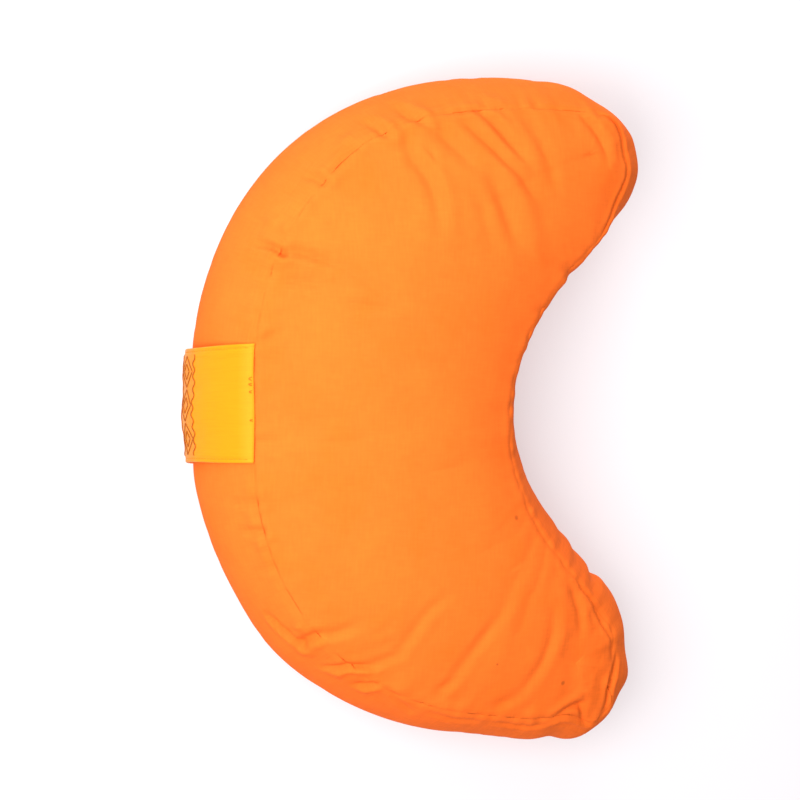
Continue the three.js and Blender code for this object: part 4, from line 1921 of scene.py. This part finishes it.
@dataclass(frozen=True)
class StrapThreads:
    """All the thread work on the strap: edge stitching, embroidery and a few loose ends.

    Attributes:
        strap: the strap that carries it.
        form: the cushion's shape.
        stitch: length of one stitch.
        pitch: distance from one stitch to the next.
        row_ends: distance of the first stitch from the top seam, and of the last from the other.
        rise: height of a stitch's arc.
        sunk: depth to which its ends dive in.
        thickness: radius of the sewing thread.
        cord: radius of the embroidery's corded stitches.
        border_cord: radius of those in the wavy borders.
        motifs: places across the strap of the embroidered lozenges, in millimetres.
        motif_size: half width and half height of the outer lozenges.
        motif_at: share along the strap of their middles.
        border_at: share along the strap from there to either border.
        border_wave: height of a border's wave.
        border_waves: half waves over half the width.
        border_margin: distance that the borders keep from the strap's edges.
        proud: height of the embroidery's middle line over the satin.
        end_thread: radius of the loose ends' thread.
        end_at: share along the strap at which a loose end starts, and how far its loop reaches on.
        ends: the loose ends: place across, span and height of each.
    """

    strap: Strap
    form: Crescent
    stitch: float = 2.7
    pitch: float = 3.4
    row_ends: tuple[float, float] = (3.0, 5.0)
    rise: float = 0.34
    sunk: float = 0.12
    thickness: float = 0.24
    cord: float = 0.42
    border_cord: float = 0.5
    motifs: tuple[float, ...] = (-23.0, 0.0, 23.0)
    motif_size: tuple[float, float] = (11.0, 10.5)
    motif_at: float = 0.545
    border_at: float = 0.108
    border_wave: float = 1.4
    border_waves: int = 9
    border_margin: float = 4.5
    proud: float = 0.1
    end_thread: float = 0.22
    end_at: tuple[float, float] = (0.004, 0.012)
    ends: tuple[tuple[float, float, float], ...] = (
        (16.0, 2.6, 1.6),
        (12.4, 1.6, 2.0),
        (7.6, 2.0, 1.2),
        (-11.0, 1.4, 1.2),
    )

    def on_strap(self, x: Array, t: Array, height: Array | float) -> tuple[Array, Array]:
        """Places above the strap's outer face, and the outward direction there.

        Args:
            x: places across.
            t: shares along.
            height: heights above the face.

        Returns:
            The places and the directions.
        """
        side = np.clip(x / (self.strap.width / 2), -1, 1)
        face = self.strap.half_thickness(side) + self.strap.ripple(side, t)
        low = self.strap.place(self.form, x, t, face)
        high = self.strap.place(self.form, x, t, face + 1.0)
        up = unit(high - low)
        return low + up * np.asarray(height)[..., None], up

    def edge_stitching(self) -> list[Cord]:
        """Two rows of lockstitch, one near each edge: short arcs that dive in at both ends.

        Returns:
            The stitches.
        """
        length = self.strap.length
        starts = np.arange(self.row_ends[0], length - self.row_ends[1], self.pitch)
        share = np.linspace(0, 1, 6)
        height = self.rise * np.sin(math.pi * share) - self.sunk
        cords = []
        for edge in (-1, 1):
            x = edge * (self.strap.width / 2 - self.strap.stitch_line)
            for start in starts.tolist():
                t = (start + self.stitch * share) / length
                path, up = self.on_strap(np.full(len(t), x), t, height)
                cords.append(Cord(path, up, self.thickness, sides=6))
        return cords

    def lozenge(self, x: float, size: float) -> list[Cord]:
        """One lozenge at a share of the full size; its sides are straight on the flat strap.

        Args:
            x: its middle, across the strap.
            size: the share.

        Returns:
            Its four sides.
        """
        corners = np.array([[1, 0], [0, 1], [-1, 0], [0, -1], [1, 0]]) * self.motif_size * size
        cords = []
        for a, b in zip(corners[:-1], corners[1:]):
            run = a + (b - a) * np.linspace(0, 1, 12)[:, None]
            t = self.motif_at + run[:, 1] / self.strap.length
            path, up = self.on_strap(x + run[:, 0], t, self.proud)
            cords.append(Cord(path, up, self.cord, sides=8, flat=0.9))
        return cords

    def border(self, t: float) -> Cord:
        """A wavy line of corded stitches across the strap: a sine of x about a share t along it.

        Args:
            t: share along the strap.

        Returns:
            The line.
        """
        half = self.strap.width / 2
        x = np.linspace(-1, 1, 120) * (half - self.border_margin)
        wave = self.border_wave * np.sin(math.pi * self.border_waves * x / half)
        path, up = self.on_strap(x, t + wave / self.strap.length, self.proud)
        return Cord(path, up, self.border_cord, sides=8, flat=0.9)

    def embroidery(self) -> list[Cord]:
        """A chain of nested lozenges between two wavy borders.

        Returns:
            All its stitches.
        """
        cords = [cord for x in self.motifs for size in (1.0, 0.5) for cord in self.lozenge(x, size)]
        borders = [self.border(self.motif_at + side * self.border_at) for side in (-1, 1)]
        return cords + borders

    def loose_ends(self) -> list[Cord]:
        """Short orange loops that stand out of the top seam beside the strap's end.

        Returns:
            The loops.
        """
        share = np.linspace(0, 1, 14)
        loop = np.sin(math.pi * share)
        start, reach = self.end_at
        sunk = 0.3
        cords = []
        for x, span, height in self.ends:
            path, up = self.on_strap(x + span * (share - 0.5), start + reach * loop, height * loop - sunk)
            cords.append(Cord(path, up, self.end_thread, sides=6, flat=1.0))
        return cords

    def build(self, shift: Array) -> list[bpy.types.Object]:
        """Makes the three kinds of thread work.

        Args:
            shift: the shift that frame_shift gives.

        Returns:
            The pieces.
        """
        yellow = Thread("polyester_thread_yellow", "#EE8410")
        brown = Thread("rayon_embroidery_thread_brown", "#A04E08", ply=0.0008, roughness=0.45)
        orange = Thread("polyester_thread_orange", "#D8680F")
        return [
            sew("strap_edge_stitching", self.edge_stitching(), shift, yellow),
            sew("strap_embroidery", self.embroidery(), shift, brown),
            sew("seam_thread_ends", self.loose_ends(), shift, orange),
        ]


# ---- Studio ----------------------------------------------------------------------------------


@dataclass(frozen=True)
class Lamp:
    """A square soft white light that faces the cushion.

    Attributes:
        name: its name.
        place: where it stands, in metres.
        size: the length of its side.
        power: its power in watts.
    """

    name: str
    place: tuple[float, float, float]
    size: float
    power: float

    def build(self, aim: tuple[float, float, float]) -> None:
        """Adds the light, turned towards a point.

        Args:
            aim: the point, in metres.
        """
        data = bpy.data.lights.new(self.name, "AREA")
        data.shape = "SQUARE"
        data.size = self.size
        data.energy = self.power
        lamp = bpy.data.objects.new(self.name, data)
        lamp.location = self.place
        lamp.rotation_euler = (Vector(self.place) - Vector(aim)).to_track_quat("Z", "Y").to_euler()
        bpy.context.scene.collection.objects.link(lamp)


LAMPS = (
    Lamp("key_over_back_wall", (-0.09, 0.526, 0.84), 0.615, 12.3),
    Lamp("side_over_right_horn", (0.352, 0.352, 0.478), 0.42, 1.1),
    Lamp("fill_beyond_right_horn", (2.35, 0.0, 0.65), 1.5, 46),
)


@dataclass(frozen=True)
class Studio:
    """Floor, soft light and camera.

    Attributes:
        aim: point that the camera was turned to, in the cushion's own frame, in millimetres.
        lean_x: camera's lean off the vertical towards the right horn.
        lean_y: camera's lean towards the back wall.
        roll: camera's turn about its own axis.
        distance: camera's distance in metres.
        lens: focal length for a sensor 36 mm wide.
        slide: camera's sideways and upward slide in its own picture plane, in metres.
        floor_size: length of the floor's side, in metres.
        surround: strength of the light from the room.
        lit_point: point that the lamps face, in metres.
    """

    aim: tuple[float, float, float] = (0.0, 0.0, 60.0)
    lean_x: float = math.radians(2.7)
    lean_y: float = math.radians(19.7)
    roll: float = math.radians(1.03)
    distance: float = 1.8
    lens: float = 118.77
    slide: tuple[float, float] = (-0.00982, 0.0058)
    floor_size: float = 12.0
    surround: float = 0.5
    lit_point: tuple[float, float, float] = (0.0, 0.0, 0.06)

    def camera(self, shift: Array) -> None:
        """Sets the camera. The picture's upward direction is the crescent's long axis.

        Args:
            shift: the shift that frame_shift gives.
        """
        back = Vector((math.tan(self.lean_x), math.tan(self.lean_y), 1.0)).normalized()
        up = Vector((1.0, 0.0, 0.0))
        up = (up - back * up.dot(back)).normalized()
        right = up.cross(back)
        right, up = (
            right * math.cos(self.roll) + up * math.sin(self.roll),
            up * math.cos(self.roll) - right * math.sin(self.roll),
        )
        aim = Vector([(a + s) * MM for a, s in zip(self.aim, shift)])
        data = bpy.data.cameras.new("camera")
        data.lens = self.lens
        data.sensor_width = 36.0
        camera = bpy.data.objects.new("camera", data)
        camera.matrix_world = Matrix.Translation(
            aim + back * self.distance + right * self.slide[0] + up * self.slide[1]
        ) @ Matrix((right, up, back)).transposed().to_4x4()
        bpy.context.scene.collection.objects.link(camera)
        bpy.context.scene.camera = camera

    def floor(self) -> None:
        """A wide light table under the cushion."""
        half = self.floor_size / 2
        corners = np.array([[-half, -half, 0], [half, -half, 0], [half, half, 0], [-half, half, 0]])
        floor = new_piece("floor", corners, [[0, 1, 2, 3]], LightTable().material())

    def light(self) -> None:
        """A near key lamp over the back wall and two weaker ones, in a pale room."""
        world = bpy.data.worlds.new("pale_room")
        world.use_nodes = True
        colour, strength = world.node_tree.nodes["Background"].inputs[:2]
        colour.default_value = linear("#FFFFFF")
        strength.default_value = self.surround
        bpy.context.scene.world = world
        for lamp in LAMPS:
            lamp.build(self.lit_point)

    def build(self, shift: Array) -> None:
        """Sets up everything, with colours shown as they are lit.

        Args:
            shift: the shift that frame_shift gives.
        """
        self.camera(shift)
        self.floor()
        self.light()
        view = bpy.context.scene.view_settings
        view.view_transform = "Standard"
        view.look = "None"
        view.exposure = 0.0
        view.gamma = 1.0


# ---- Assembly --------------------------------------------------------------------------------


# Specks on the top panel: x, y, z and radius, in the cushion's own frame, in millimetres.
SPECKS = (
    (-71.0, -56.6, 109.7, 2.4),
    (-185.9, -97.7, 98.3, 2.1),
    (-169.7, -44.6, 109.4, 1.3),
)


def frame_shift(form: Crescent) -> Array:
    """Plan shift from the cushion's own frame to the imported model's, in millimetres.

    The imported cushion's box gives it: both are centred alike in X and share their front in Y.

    Args:
        form: the cushion's shape.

    Returns:
        The shift along X, Y and Z.
    """
    low, high = (np.array(corner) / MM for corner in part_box("cushion"))
    places = smooth_surface(form, COARSE).points.reshape(-1, 3)
    x = (low[0] + high[0]) / 2 - (places[:, 0].min() + places[:, 0].max()) / 2
    return np.array([x, low[1] - places[:, 1].min(), 0.0])


def main() -> None:
    """Builds the cushion, its strap and the studio round them."""
    logging.basicConfig(level=logging.INFO, format="%(name)s: %(message)s")
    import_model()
    form = Crescent()
    shift = frame_shift(form)
    log.info("frame shift %s mm", np.round(shift, 2))
    spots = tuple((*((np.array(place) + shift) * MM), radius * MM) for *place, radius in SPECKS)
    Cushion(form).build(shift, WovenCotton(spots=spots))
    strap = Strap()
    band = strap.build(form, shift, Satin())
    threads = StrapThreads(strap, form).build(shift)
    Studio().build(shift)


if __name__ == "__main__":
    main()
